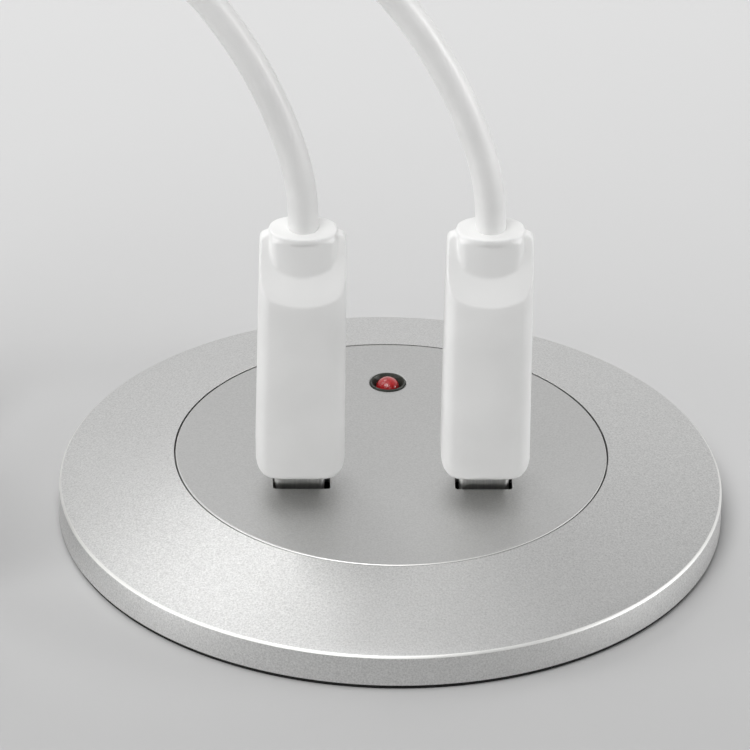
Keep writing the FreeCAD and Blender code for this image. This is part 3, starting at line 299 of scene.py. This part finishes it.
def oval_outline(half_width, half_thickness, face_radius, corner):
    """Outline with broad arcs in front and behind, flat sides and corner arcs between them."""
    across = half_width - corner
    centre = half_thickness - face_radius
    along = centre + math.sqrt((face_radius - corner) ** 2 - across ** 2)
    meeting = math.atan2(along - centre, across)
    quarter = [(across + corner * math.cos(meeting * i / 12), along + corner * math.sin(meeting * i / 12))
               for i in range(13)]
    for i in range(1, 13):
        angle = meeting + (math.pi / 2 - meeting) * i / 12
        quarter.append((face_radius * math.cos(angle), centre + face_radius * math.sin(angle)))
    half = quarter + [(-x, y) for x, y in reversed(quarter[:-1])]
    return half + [(-x, -y) for x, y in half]


def oval_ring(shell, outline, low, high, narrowing=1.0):
    """Closed upright prism over an outline, narrower at the top."""
    foot = shell.faces.new([shell.verts.new((x, y, low)) for x, y in outline])
    grown = bmesh.ops.extrude_face_region(shell, geom=[foot], use_keep_orig=True)
    lifted = [item for item in grown["geom"] if isinstance(item, bmesh.types.BMVert)]
    bmesh.ops.translate(shell, verts=lifted, vec=(0, 0, high - low))
    bmesh.ops.scale(shell, verts=lifted, vec=(narrowing, 1, 1))


def sliced(shell, point, normal):
    """Cut a closed solid by a plane, drop what lies outside and close the cut."""
    everything = shell.verts[:] + shell.edges[:] + shell.faces[:]
    cut = bmesh.ops.bisect_plane(shell, geom=everything, plane_co=point, plane_no=normal, clear_outer=True)
    rim = [item for item in cut["geom_cut"] if isinstance(item, bmesh.types.BMEdge)]
    bmesh.ops.holes_fill(shell, edges=rim)


def arc_cuts(shell, across, centre, radius, begin, end, count):
    """Slice a curved corner: planes tangent to an arc, spread between two angles in degrees."""
    for i in range(count):
        angle = math.radians(begin + (end - begin) * (i + 0.5) / count)
        for way in (-1, 1):
            out = Vector((way * math.cos(angle), 0, math.sin(angle)))
            spot = Vector((way * centre[0], 0, centre[1])) + radius * out
            if across == "y":
                out.x, out.y = 0, out.x
                spot.x, spot.y = 0, spot.x
            sliced(shell, spot, out)


def grip_mesh():
    """The grip with its foot at the origin and its cord end upwards."""
    block = bmesh.new()
    oval_ring(block, oval_outline(GRIP_HALF_WIDTH, GRIP_HALF_THICKNESS, FACE_RADIUS, SIDE_CORNER), 0,
              GRIP_RIDGE, GRIP_TOP_HALF_WIDTH / GRIP_HALF_WIDTH)
    arc_cuts(block, "x", (GRIP_HALF_WIDTH - FOOT_CORNER, FOOT_CORNER), FOOT_CORNER, -90, 0, 7)
    arc_cuts(block, "x", (GRIP_TOP_HALF_WIDTH - RIDGE_CORNER, GRIP_RIDGE - RIDGE_CORNER), RIDGE_CORNER,
             0, 90, 5)
    arc_cuts(block, "y", (GRIP_HALF_THICKNESS - FOOT_EDGE, FOOT_EDGE), FOOT_EDGE, -90, 0, 3)
    for way in (-1, 1):
        out = Vector((0, way * (GRIP_RIDGE - GRIP_CREASE), GRIP_HALF_THICKNESS - RIDGE_HALF_THICKNESS))
        sliced(block, (0, way * GRIP_HALF_THICKNESS, GRIP_CREASE), out)
    oval_ring(block, oval_outline(*COLLAR_OVAL), COLLAR_FOOT, COLLAR_TOP)
    oval_ring(block, oval_outline(*LIP_OVAL), LIP_FOOT, GRIP_LENGTH)
    bmesh.ops.recalc_face_normals(block, faces=block.faces)
    bmesh.ops.scale(block, vec=(MM, MM, MM), verts=block.verts)
    mesh = bpy.data.meshes.new("grip")
    block.to_mesh(mesh)
    block.free()
    solid = bpy.data.objects.new("grip", mesh)
    remesh = solid.modifiers.new("Remesh", "REMESH")
    remesh.mode = "VOXEL"
    remesh.voxel_size = MOULD_SOFTNESS * MM
    softened = solid.modifiers.new("Smooth", "SMOOTH")
    softened.iterations = 4
    softened.factor = 0.5
    return baked(solid)


def moulded_tpe():
    """Injection-moulded white TPE: a fine, even texture from the mould that takes the shine off."""
    material = new_material("moulded_white_tpe")
    broad = grain(material, 14.0)
    fine = grain(material, 0.22, 3.0)
    return surfaced(material, fine, 0.010, Base_Color=tinted(material, broad, "#ECECEB", "#F4F4F3"),
                    Roughness=ranged(material, broad, 0.40, 0.48), IOR=1.5,
                    Subsurface_Weight=0.10, Subsurface_Radius=(0.002, 0.002, 0.002), Subsurface_Scale=0.6)


GRIP = grip_mesh()
UPRIGHT = {"left": Vector((-15.35, -9.2, GRIP_BOTTOM)) * MM,
           "right": Vector((15.05, -9.2, GRIP_BOTTOM)) * MM}
LYING = {"left": Vector((-177.575, 29.625, LYING_AXIS)) * MM,
         "right": Vector((-195.575, -29.625, LYING_AXIS)) * MM}
LAID_DOWN = Matrix.Rotation(math.pi / 2, 4, "Y") @ Matrix.Rotation(math.pi / 2, 4, "Z")


def plug_copies(name, mesh, material, slot):
    """Four copies of a plug's piece: two upright in the sockets, two lying at the leads' other ends."""
    for side_name in ("left", "right"):
        standing = mesh.copy()
        standing.transform(Matrix.Translation(UPRIGHT[side_name]))
        lying = mesh.copy()
        lying.transform(Matrix.Translation(LYING[side_name]) @ LAID_DOWN)
        plug_pieces[side_name] += [
            added("lead_%s_%s" % (name, side_name), standing, material, "lead_" + side_name, slot,
                  "plug_%s_%s" % (name, side_name)),
            added("far_%s_%s" % (name, side_name), lying, material, "charger", slot,
                  "far_plug_%s_%s" % (name, side_name))]


plug_pieces = {"left": [], "right": []}
plug_copies("body", GRIP, moulded_tpe(), "plug_body")


# Plug noses. A flat steel tube with round ends, drawn from sheet and nickel plated, goes into the socket.
# Its edges are eased where it was cut to length.
NOSE_LENGTH = 11.2
NOSE_OUTSIDE = (8.25, 2.4, 1.2)
NOSE_INSIDE = (7.55, 1.7, 0.85)
NOSE_EDGE = 0.08
CIRCLE_PULL = 0.5523


def rounded_loop(curve, width, depth, corner, x=0.0, y=0.0):
    """Closed outline with round corners, in millimetres; corners of half the width make a circle."""
    bend = CIRCLE_PULL * corner
    across, along = width / 2 - corner, depth / 2 - corner
    spots = []
    for quarter, (sx, sy) in enumerate(((1, -1), (1, 1), (-1, 1), (-1, -1))):
        for ahead in (0, 1):
            angle = (quarter - 1 + ahead) * math.pi / 2
            out = Vector((math.cos(angle), math.sin(angle)))
            spot = Vector((x + sx * across, y + sy * along)) + corner * out
            pull = bend * Vector((-out.y, out.x)) * (1 - 2 * ahead)
            if spots and (spots[-1][0] - spot).length < 1e-6:
                spots[-1][2] = spot + pull
            else:
                spots.append([spot, spot + pull * ahead, spot + pull * (1 - ahead)])
    if (spots[0][0] - spots[-1][0]).length < 1e-6:
        spots[0][1] = spots.pop()[1]
    spline = curve.splines.new("BEZIER")
    spline.use_cyclic_u = True
    spline.bezier_points.add(len(spots) - 1)
    for control, (spot, before, after) in zip(spline.bezier_points, spots):
        control.co = (*(spot * MM), 0)
        control.handle_left = (*(before * MM), 0)
        control.handle_right = (*(after * MM), 0)


def stamped(name, loops, thickness, low, edge, smoothness):
    """Flat piece cut from loops: its outline and its holes, with eased edges all round."""
    curve = bpy.data.curves.new(name, "CURVE")
    curve.dimensions = "2D"
    curve.fill_mode = "BOTH"
    curve.resolution_u = smoothness
    for loop in loops:
        rounded_loop(curve, *loop)
    curve.extrude = (thickness / 2 - edge) * MM
    curve.bevel_depth = edge * MM
    curve.bevel_resolution = 2
    curve.offset = -edge * MM
    flat = bpy.data.objects.new(name, curve)
    flat.location.z = (low + thickness / 2) * MM
    mesh = baked(flat)
    shell = bmesh.new()
    shell.from_mesh(mesh)
    bmesh.ops.remove_doubles(shell, verts=shell.verts, dist=1e-7)
    bmesh.ops.recalc_face_normals(shell, faces=shell.faces)
    shell.to_mesh(mesh)
    shell.free()
    return mesh


def plated_steel():
    """Drawn steel with nickel plating: smooth, with faint lines along the draw. Its colour is partly the
    plating's own brightness and partly painted light, set lighter than the pins' nickel to lift the shade
    under the grip.
    """
    material = new_material("nickel_plated_steel")
    place = put(material, "ShaderNodeTexCoord").outputs["Object"]
    stretched = put(material, "ShaderNodeMapping", {"Vector": place, "Scale": (1, 1, 0.06)}).outputs["Vector"]
    lines = put(material, "ShaderNodeTexNoise", {"Vector": stretched, "Scale": 4500.0}).outputs["Fac"]
    # These colours, lighter than the nickel of the pins, lift the shade that the grip casts on the nose:
    # painted light.
    return surfaced(material, lines, 0.003, Base_Color=tinted(material, lines, "#DCDCDB", "#ECECEA"),
                    Metallic=1.0, Roughness=ranged(material, lines, 0.3, 0.42))


nose = stamped("nose", [NOSE_OUTSIDE, NOSE_INSIDE], NOSE_LENGTH, -NOSE_LENGTH, NOSE_EDGE, 10)
PLATED_STEEL = plated_steel()
plug_copies("nose", nose, PLATED_STEEL, "plug_nose")


# Bezel ring. Turned aluminium, bead blasted and clear anodised: a shallow cone, slightly crowned, with a
# bright machined bevel round its rim, a rebate for the face plate, and four bosses underneath for the screws
# of the barrel.
RIM_RADIUS = 55.0
RIM_UNDERSIDE = 0.8
RIM_TOP = 5.85
CONE_FOOT = (54.68, 6.23)
CONE_TOP = (36.0, 11.76)
CONE_CROWN = 0.22
REBATE_FLOOR = 9.8
REBATE_INNER = 33.5
SEAT_HEIGHT = 8.0
SEAT_RADIUS = 41.05
SKIRT_HEIGHT = 4.6
SKIRT_RADIUS = 52.5
BOSS_CIRCLE = 44.0
BOSS_RADIUS = 3.4
BOSS_FOOT = 3.3


def lathe(profile, edge, steps=256):
    """Ring turned from a closed profile of (radius, height) corners, its sharp edges eased."""
    shell = bmesh.new()
    corners = [shell.verts.new((radius * MM, 0, height * MM)) for radius, height in profile]
    outline = [shell.edges.new(pair) for pair in zip(corners, corners[1:] + corners[:1])]
    bmesh.ops.spin(shell, geom=corners + outline, axis=(0, 0, 1), angle=2 * math.pi, steps=steps,
                   use_merge=True)
    bmesh.ops.remove_doubles(shell, verts=shell.verts, dist=1e-7)
    bmesh.ops.recalc_face_normals(shell, faces=shell.faces)
    sharp = [line for line in shell.edges if line.is_manifold and line.calc_face_angle() > 0.3]
    bmesh.ops.bevel(shell, geom=sharp, offset=edge * MM, offset_type="OFFSET", affect="EDGES", segments=2,
                    profile=0.5, material=-1)
    return shell


def as_mesh(name, shell):
    """Mesh of a finished shell with its faces turned outwards."""
    mesh = bpy.data.meshes.new(name)
    bmesh.ops.recalc_face_normals(shell, faces=shell.faces)
    shell.to_mesh(mesh)
    shell.free()
    return mesh


def post(shell, radius, low, high, x, y, segments=48):
    """Upright round post added to a shell, in millimetres."""
    bmesh.ops.create_cone(shell, cap_ends=True, segments=segments, radius1=radius * MM,
                          radius2=radius * MM, depth=(high - low) * MM,
                          matrix=Matrix.Translation(Vector((x, y, (low + high) / 2)) * MM))


def blasted_aluminium(name, dark, light):
    """Bead-blasted, clear-anodised aluminium: dull sheen with single bright grains. Real grit of 0.1 mm is
    too fine to show, so it is drawn 0.3 mm coarse."""
    material = new_material(name)
    grit = grain(material, 0.3, 3.0, 0.7)
    return surfaced(material, grit, 0.03, Base_Color=tinted(material, grit, dark, light), Metallic=1.0,
                    Roughness=ranged(material, grit, 0.48, 0.33))


def cut_aluminium():
    """Edges cut with a diamond tool after blasting: bright and silky, with faint turning marks."""
    material = new_material("diamond_cut_aluminium")
    marks = grain(material, 0.15, 1.0)
    return surfaced(material, marks, 0.002, Base_Color=tinted(material, marks, "#F0F0EE", "#F8F8F6"),
                    Metallic=1.0, Roughness=ranged(material, marks, 0.5, 0.6))


def with_cut_edges(piece, floor):
    """Give the sloping edge faces above a height the bright cut finish."""
    piece.data.materials.append(CUT_ALUMINIUM)
    for face in piece.data.polygons:
        if face.center.z > floor * MM and 0.3 < face.normal.z < 0.93:
            face.material_index = 1


def crowned(begin, end, rise, count):
    """Points of a slightly convex turned face between two corners, both corners included."""
    across = Vector(end) - Vector(begin)
    out = Vector((across.y, -across.x)).normalized()
    return [tuple(Vector(begin) + across * i / count + out * 4 * rise * i / count * (1 - i / count))
            for i in range(count + 1)]


def ring_spots(circle, degrees):
    """Places on a circle round the axis."""
    return [(circle * math.cos(angle), circle * math.sin(angle)) for angle in map(math.radians, degrees)]


CUT_ALUMINIUM = cut_aluminium()
bezel = lathe([(SKIRT_RADIUS, RIM_UNDERSIDE), (RIM_RADIUS, RIM_UNDERSIDE), (RIM_RADIUS, RIM_TOP)]
              + crowned(CONE_FOOT, CONE_TOP, CONE_CROWN, 8)
              + [(CONE_TOP[0], REBATE_FLOOR), (REBATE_INNER, REBATE_FLOOR), (REBATE_INNER, SEAT_HEIGHT),
                 (SEAT_RADIUS, SEAT_HEIGHT), (SKIRT_RADIUS, SKIRT_HEIGHT)], 0.05)
for x, y in ring_spots(BOSS_CIRCLE, (45, 135, 225, 315)):
    post(bezel, BOSS_RADIUS, BOSS_FOOT, SEAT_HEIGHT + 0.2, x, y)
with_cut_edges(added("bezel", as_mesh("bezel", bezel),
                     blasted_aluminium("blasted_aluminium_bezel", "#C6C6C5", "#EAEAE9"),
                     "charger", "bezel_ring", "bezel_ring", sharp=12), RIM_TOP - 0.15)


# Face plate. A 2 mm aluminium disc with the same finish, set into the bezel's rebate with a fine groove
# round it. Its light colour is painted darker than the bezel's: painted shade on a copy of the same finish.
# Two slots for the plugs and a hole for the light are milled with bright eased edges, and three posts hold
# the port board.
LIGHT_Y = 23.0
PLATE_LOOPS = [(71.5, 71.5, 35.75), (9.4, 5.2, 0.6, -15.0, -9.0), (9.4, 5.2, 0.6, 15.0, -9.0),
               (6.0, 6.0, 3.0, 0.0, LIGHT_Y)]
PLATE_THICKNESS = 2.0
PLATE_EDGE = 0.3
PILLAR_CIRCLE = 27.0
PILLAR_RADIUS = 2.6
PILLAR_FOOT = 2.3

plate = bmesh.new()
plate.from_mesh(stamped("plate", PLATE_LOOPS, PLATE_THICKNESS, REBATE_FLOOR, PLATE_EDGE, 48))
for x, y in ring_spots(PILLAR_CIRCLE, (30, 150, 270)):
    post(plate, PILLAR_RADIUS, PILLAR_FOOT, REBATE_FLOOR + 0.1, x, y)
# The plate's copy of the finish has its light end at #D4D4D3 against the bezel's #EAEAE9: painted shade.
with_cut_edges(added("plate", as_mesh("plate", plate),
                     blasted_aluminium("plate_aluminium_painted_shade", "#C6C6C5", "#D4D4D3"),
                     "charger", "face_plate", "face_plate", sharp=12),
               REBATE_FLOOR + PLATE_THICKNESS - PLATE_EDGE + 0.05)


# Power light. A red diffused resin body with a domed top, held in the plate by a dark sleeve with a flared
# mouth that is pushed in from behind.
RESIN_RADIUS = 2.05
RESIN_RIM_RADIUS = 2.5
RESIN_FOOT = 8.2
DOME_CENTRE = 10.6
SLEEVE_BORE = 2.1
SLEEVE_MOUTH = 2.7
SLEEVE_RADIUS = 2.95
SLEEVE_FLANGE_RADIUS = 3.7
SLEEVE_FOOT = 9.0
SLEEVE_TOP = 12.0


def red_resin():
    """Diffused epoxy resin: deep red all through, glossy, with light let a little way in."""
    material = new_material("red_diffused_resin")
    cloud = grain(material, 1.2)
    return surfaced(material, cloud, 0.002, Base_Color=tinted(material, cloud, "#A00C12", "#BA161C"),
                    Roughness=0.22, IOR=1.54, Subsurface_Weight=0.3,
                    Subsurface_Radius=(0.002, 0.0004, 0.0004), Subsurface_Scale=1.0, Coat_Weight=1.0,
                    Coat_Roughness=0.18)


def moulded_black(name, colour, low, high, grain_mm):
    """Moulded black plastic with a fine spark-eroded texture; dark, with a soft wide sheen."""
    material = new_material(name)
    texture = grain(material, grain_mm, 3.0)
    return surfaced(material, texture, 0.02, Base_Color=tinted(material, texture, colour, "#2A2A2C"),
                    Roughness=ranged(material, texture, low, high), IOR=1.5)


light = bmesh.new()
post(light, RESIN_RIM_RADIUS, RESIN_FOOT, SLEEVE_FOOT, 0, LIGHT_Y)
post(light, RESIN_RADIUS, SLEEVE_FOOT, DOME_CENTRE, 0, LIGHT_Y, 64)
bmesh.ops.create_uvsphere(light, u_segments=64, v_segments=32, radius=RESIN_RADIUS * MM,
                          matrix=Matrix.Translation(Vector((0, LIGHT_Y, DOME_CENTRE)) * MM))
added("light", as_mesh("light", light), red_resin(), "charger", "power_led", "power_led")
sleeve = lathe([(SLEEVE_BORE, SLEEVE_FOOT), (SLEEVE_FLANGE_RADIUS, SLEEVE_FOOT),
                (SLEEVE_FLANGE_RADIUS, REBATE_FLOOR), (SLEEVE_RADIUS, REBATE_FLOOR),
                (SLEEVE_RADIUS, SLEEVE_TOP), (SLEEVE_MOUTH, SLEEVE_TOP), (SLEEVE_BORE, DOME_CENTRE)],
               0.08, 64)
bmesh.ops.translate(sleeve, verts=sleeve.verts, vec=(0, LIGHT_Y * MM, 0))
SLEEVE_PLASTIC = moulded_black("moulded_dark_sleeve", "#3A4034", 0.35, 0.5, 0.3)
added("light_sleeve", as_mesh("light_sleeve", sleeve), SLEEVE_PLASTIC, "charger", "led_clip", "led_clip")


# Coil tie. A black hook-and-loop strap holds the two put-away coils together: woven nylon, 8 mm wide,
# wrapped once round all the turns.
TIE_WIDTH = 8.0
TIE_THICKNESS = 0.6
TURNS = [(-28.25, 2.5), (-22.75, 2.5), (-19.0, 8.0), (-19.0, 19.0), (-25.5, 19.0), (-28.25, 13.5)]


def strap(x, y, rounds, radius):
    """Closed ribbon round a bundle: the corner turns' centres in order, and the ribbon's radius there."""
    ribbon = bmesh.new()
    line = []
    for before, here, after in zip(rounds[-1:] + rounds[:-1], rounds, rounds[1:] + rounds[:1]):
        begin, end = (math.atan2(q[1] - p[1], q[0] - p[0]) - math.pi / 2
                      for p, q in ((before, here), (here, after)))
        turn = (end - begin) % (2 * math.pi)
        for i in range(9):
            angle = begin + turn * i / 8
            spot = Vector((x + here[0] + radius * math.cos(angle), y,
                           here[1] + radius * math.sin(angle)))
            line.append(ribbon.verts.new(spot * MM))
    edges = [ribbon.edges.new(pair) for pair in zip(line, line[1:] + line[:1])]
    grown = bmesh.ops.extrude_edge_only(ribbon, edges=edges)
    far_side = [item for item in grown["geom"] if isinstance(item, bmesh.types.BMVert)]
    bmesh.ops.translate(ribbon, verts=far_side, vec=(0, TIE_WIDTH * MM, 0))
    bmesh.ops.translate(ribbon, verts=ribbon.verts, vec=(0, -TIE_WIDTH / 2 * MM, 0))
    bmesh.ops.recalc_face_normals(ribbon, faces=ribbon.faces)
    band = bpy.data.objects.new("strap", as_mesh("strap", ribbon))
    thick = band.modifiers.new("Solidify", "SOLIDIFY")
    thick.thickness = TIE_THICKNESS * MM
    thick.offset = -1.0
    return baked(band)


def woven_nylon():
    """Woven nylon with a loop face: threads in two directions and a dull, fuzzy edge sheen."""
    material = new_material("woven_black_nylon")
    place = put(material, "ShaderNodeTexCoord").outputs["Object"]
    threads = put(material, "ShaderNodeTexWave", {"Vector": place, "Scale": 420.0, "Distortion": 3.0,
                                                  "Detail": 2.0, "Detail Scale": 4.0}, bands_direction="Y")
    return surfaced(material, threads.outputs["Fac"], 0.12,
                    Base_Color=tinted(material, threads.outputs["Fac"], "#141415", "#2C2C2E"),
                    Roughness=0.85, Sheen_Weight=0.4)


added("coil_tie", strap(COIL_X, 0, TURNS, COIL_AXIS + TIE_THICKNESS), woven_nylon(), "charger", "cord")


# Barrel. Black glass-filled nylon, moulded: a smooth shoulder in the desk hole, a coarse thread down to the
# end that two keyways break, and a flange under the bezel.
THREAD_PITCH = 4.0
THREAD_LOW, THREAD_HIGH = -57.5, -10.0
THREAD_FOOT, THREAD_CREST = 38.2, 39.15
FOOT_HALF, CREST_HALF = 1.4, 0.45
KEYWAY_HALF_ANGLE = math.asin(3.2 / 39.0)
THREAD_STEPS = 56


def thread_mesh():
    """The thread's ridges between the keyways: one closed strip for each half turn."""
    strips = bmesh.new()
    half_turns = int((THREAD_HIGH - THREAD_LOW) / (THREAD_PITCH / 2))
    sweep = math.pi - 2 * KEYWAY_HALF_ANGLE
    climb = THREAD_PITCH * sweep / (2 * math.pi)
    for i in range(half_turns):
        start = i * math.pi + KEYWAY_HALF_ANGLE
        low = THREAD_LOW + THREAD_PITCH * start / (2 * math.pi)
        section = [(THREAD_FOOT, low - FOOT_HALF), (THREAD_CREST, low - CREST_HALF),
                   (THREAD_CREST, low + CREST_HALF), (THREAD_FOOT, low + FOOT_HALF)]
        spots = [strips.verts.new(Vector((radius * math.cos(start), radius * math.sin(start), height)) * MM)
                 for radius, height in section]
        end = strips.faces.new(spots)
        bmesh.ops.spin(strips, geom=[end], axis=(0, 0, 1), angle=sweep, steps=THREAD_STEPS,
                       dvec=(0, 0, climb / THREAD_STEPS * MM))
    return as_mesh("thread", strips)


MOULDED_NYLON = moulded_black("glass_filled_nylon", "#161617", 0.45, 0.62, 0.5)
dress(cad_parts["barrel"], MOULDED_NYLON)
added("barrel_thread", thread_mesh(), MOULDED_NYLON, "charger", "barrel")


# Clamp washer, ring nut and rear cover. The same black nylon, each moulded in one piece; the washer slides
# down the keyways, the nut turns on the thread and three zinc screws hold the cover.
for name in ("clamp_washer", "ring_nut", "rear_cover"):
    dress(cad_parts[name], MOULDED_NYLON)


# Screws. Zinc-plated steel pan heads: four through the barrel's flange into the bezel, three in the rear
# cover and three that hold the port board.
def zinc_plate():
    """Bright zinc plating with a thin bluish film: fine crystals, small changes of shine."""
    material = new_material("zinc_plated_steel")
    crystal = grain(material, 0.4, 3.0)
    return surfaced(material, crystal, 0.006, Base_Color=tinted(material, crystal, "#B9BDC2", "#D2D5D8"),
                    Metallic=1.0, Roughness=ranged(material, crystal, 0.28, 0.45))


ZINC = zinc_plate()
for name in ("bezel_screws", "cover_screws", "port_board_screws"):
    dress(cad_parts[name], ZINC)


# Flange gasket. A flat ring cut from closed-cell black foam rubber, stuck under the flange. Its edge is drawn
# out to just inside the rim so that it shows as a dark line on the desk: a black ring standing in for painted
# shadow under the rim.
GASKET_INNER, GASKET_SHADOW_EDGE = 47.5, 54.6


def foam_rubber():
    """Closed-cell foam rubber: nearly black, matte, with fine cells in its cut edge."""
    material = new_material("foam_rubber")
    place = put(material, "ShaderNodeTexCoord").outputs["Object"]
    cells = put(material, "ShaderNodeTexVoronoi", {"Vector": place, "Scale": 3300.0}).outputs["Distance"]
    return surfaced(material, cells, 0.05, Base_Color=tinted(material, cells, "#0B0B0B", "#1A1A1A", 0.0, 0.6),
                    Roughness=0.9)


# The outer edge at 54.6 mm brings the black foam out to the rim to stand in for the rim's contact shadow:
# painted shadow.
gasket = lathe([(GASKET_INNER, 0.0), (GASKET_SHADOW_EDGE, 0.0), (GASKET_SHADOW_EDGE, RIM_UNDERSIDE),
                (GASKET_INNER, RIM_UNDERSIDE)], 0.1)
added("gasket", as_mesh("gasket", gasket), foam_rubber(), "charger", "flange_gasket", "flange_gasket")


# Mains inlet. A black polyester two-pin socket in the cover, with nickel-plated brass pins and two
# PVC-covered wires, brown and blue on the real one, to the power card.
def plain_plastic(name, dark, light, roughness, size_mm=0.6):
    """Moulded plastic in one colour with slight mottling."""
    material = new_material(name)
    mottle = grain(material, size_mm, 3.0)
    return surfaced(material, mottle, 0.008, Base_Color=tinted(material, mottle, dark, light),
                    Roughness=roughness, IOR=1.5)


def plated_metal(name, dark, light, low, high, size_mm=0.5):
    """Bare or plated metal with a fine rolled or stamped surface."""
    material = new_material(name)
    rolled = grain(material, size_mm, 2.0)
    return surfaced(material, rolled, 0.004, Base_Color=tinted(material, rolled, dark, light), Metallic=1.0,
                    Roughness=ranged(material, rolled, low, high))


NICKEL = plated_metal("nickel_plate", "#C9C5BB", "#DAD6CC", 0.18, 0.3)
dress(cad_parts["mains_inlet"], plain_plastic("moulded_polyester", "#17181A", "#222325", 0.4))
dress(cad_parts["inlet_pins"], NICKEL)
dress(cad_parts["inlet_wires"], plain_plastic("wire_insulation", "#5A3320", "#6A3E28", 0.35))


# USB sockets. Stainless shells with round ends, drawn deep and soldered upright on the port board, each
# with a black plastic tongue that carries the contacts.
STAINLESS = plated_metal("drawn_stainless", "#A9A9A8", "#C2C2C0", 0.2, 0.34)
TONGUE_PLASTIC = plain_plastic("socket_tongue_plastic", "#0F0F10", "#191919", 0.5, 0.3)
for side_name in ("left", "right"):
    dress(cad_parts["usb_socket_" + side_name], STAINLESS)
    dress(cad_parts["socket_tongue_" + side_name], TONGUE_PLASTIC)
dress(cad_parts["led_legs"], plated_metal("tinned_copper", "#BDBBB5", "#CFCDC7", 0.3, 0.45))


# Circuit boards. Glass-epoxy with black solder mask: the port board right under the face plate and the
# power card that stands across the barrel.
def solder_mask():
    """Black solder mask over glass cloth: glossy, with the weave and the copper tracks faintly raised."""
    material = new_material("black_solder_mask")
    place = put(material, "ShaderNodeTexCoord").outputs["Object"]
    tracks = put(material, "ShaderNodeTexBrick", {"Vector": place, "Scale": 160.0, "Mortar Size": 0.04,
                                                  "Color1": (0, 0, 0, 1), "Color2": (0.3, 0.3, 0.3, 1),
                                                  "Mortar": (1, 1, 1, 1)}).outputs["Fac"]
    return surfaced(material, tracks, 0.03, Roughness=0.3, IOR=1.55,
                    Base_Color=tinted(material, tracks, "#0C100E", "#151C18", 0.0, 1.0))


SOLDER_MASK = solder_mask()
for name in ("port_board", "main_board"):
    dress(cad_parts[name], SOLDER_MASK)


# Power parts on the card. Ferrite core with a taped winding, capacitors in printed PVC sleeves, a wound
# choke, a boxed film capacitor, a glass fuse, black chips and an extruded aluminium heat sink.
CARD_PARTS = {
    "transformer_core": plain_plastic("sintered_ferrite", "#232325", "#303033", 0.6, 0.25),
    "transformer_winding": plain_plastic("yellow_polyester_tape", "#C79A1E", "#D8AC2C", 0.3, 3.0),
    "bulk_capacitors": plain_plastic("black_pvc_sleeve", "#141416", "#1E1E21", 0.28, 2.0),
    "output_capacitors": plain_plastic("green_pvc_sleeve", "#123A2A", "#184A36", 0.28, 2.0),
    "input_choke": plated_metal("enamelled_copper", "#8E4A22", "#B06233", 0.25, 0.4, 0.8),
    "film_capacitor": plain_plastic("yellow_film_box", "#C9A12E", "#D9B240", 0.42),
    "fuse": plain_plastic("glass_and_nickel_fuse", "#BFC2C0", "#D5D8D6", 0.12, 1.0),
    "driver_chips": plain_plastic("chip_epoxy", "#101011", "#1B1B1C", 0.55, 0.2),
    "heat_sink": plated_metal("extruded_aluminium", "#B4B6B8", "#CCCED0", 0.32, 0.46, 0.7),
}
for name, material in CARD_PARTS.items():
    dress(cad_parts[name], material)


# Desk top and light. A pale laminated slab with an 80 mm hole carries the charger. It is as thin as the
# clamp can hold, so that the nut is clear of it all the way. Soft lamps stand overhead, in front, behind and
# low at both sides.
SLAB_SIDE = 6000.0
SLAB_CORNER = 50.0
SLAB_THICKNESS = 12.5
DESK_HOLE = 80.0
LAMPS = [("overhead_lamp", (-0.2, -0.45, 1.5), 2.0, 4.2),
         ("high_front_lamp", (-0.33, -0.66, 1.27), 0.9, 10.6),
         ("back_left_lamp", (-0.36, 0.66, 1.1), 0.4, 1.15),
         ("left_lamp", (-0.9, 0.2, 1.05), 0.7, 1.6),
         ("low_left_lamp", (-1.27, -0.33, 0.16), 0.4, 6.5),
         ("low_right_lamp", (1.3, -0.13, 0.2), 0.6, 8.0)]


def slab_mesh():
    """Square board with round corners and the hole, its top at the desk's height."""
    curve = bpy.data.curves.new("slab", "CURVE")
    curve.dimensions = "2D"
    curve.fill_mode = "BOTH"
    curve.resolution_u = 24
    rounded_loop(curve, SLAB_SIDE, SLAB_SIDE, SLAB_CORNER)
    rounded_loop(curve, DESK_HOLE, DESK_HOLE, DESK_HOLE / 2)
    curve.extrude = SLAB_THICKNESS / 2 * MM
    board = bpy.data.objects.new("slab", curve)
    board.location.z = -SLAB_THICKNESS / 2 * MM
    return baked(board)


def desk_laminate():
    """Pale grey matte laminate with a fine pebble; its colour is painted lighter towards the back, a painted
    falloff of light.
    """
    material = new_material("pale_laminate")
    place = put(material, "ShaderNodeTexCoord").outputs["Object"]
    along = put(material, "ShaderNodeSeparateXYZ", {"Vector": place}).outputs["Y"]
    pebble = grain(material, 0.7, 2.0)
    # The Y coordinate grades the colour from #BBBBBB in front to #E3E3E3 behind: painted falloff of light,
    # not the laminate's own colour.
    return surfaced(material, pebble, 0.004, Roughness=0.6,
                    Base_Color=tinted(material, along, "#BBBBBB", "#E3E3E3", -0.07, 0.18))


desk = bpy.data.objects.new("desk_top", slab_mesh())
bpy.context.scene.collection.objects.link(desk)
dress(desk, desk_laminate())

for name, place, size, power in LAMPS:
    lamp = bpy.data.objects.new(name, bpy.data.lights.new(name, "AREA"))
    lamp.data.shape = "DISK"
    lamp.data.size = size
    lamp.data.energy = power
    lamp.location = place
    lamp.rotation_euler = (-Vector(place)).to_track_quat("-Z", "Y").to_euler()
    bpy.context.scene.collection.objects.link(lamp)

world = bpy.data.worlds.new("surround")
world.use_nodes = True
facing = put(world, "ShaderNodeTexCoord").outputs["Generated"]
behind = put(world, "ShaderNodeSeparateXYZ", {"Vector": facing}).outputs["Y"]
world.node_tree.links.new(tinted(world, behind, "#4C4C4C", "#E0E0E0", -0.4, 0.9),
                          world.node_tree.nodes["Background"].inputs["Color"])
bpy.context.scene.world = world
bpy.context.scene.view_settings.view_transform = "Standard"
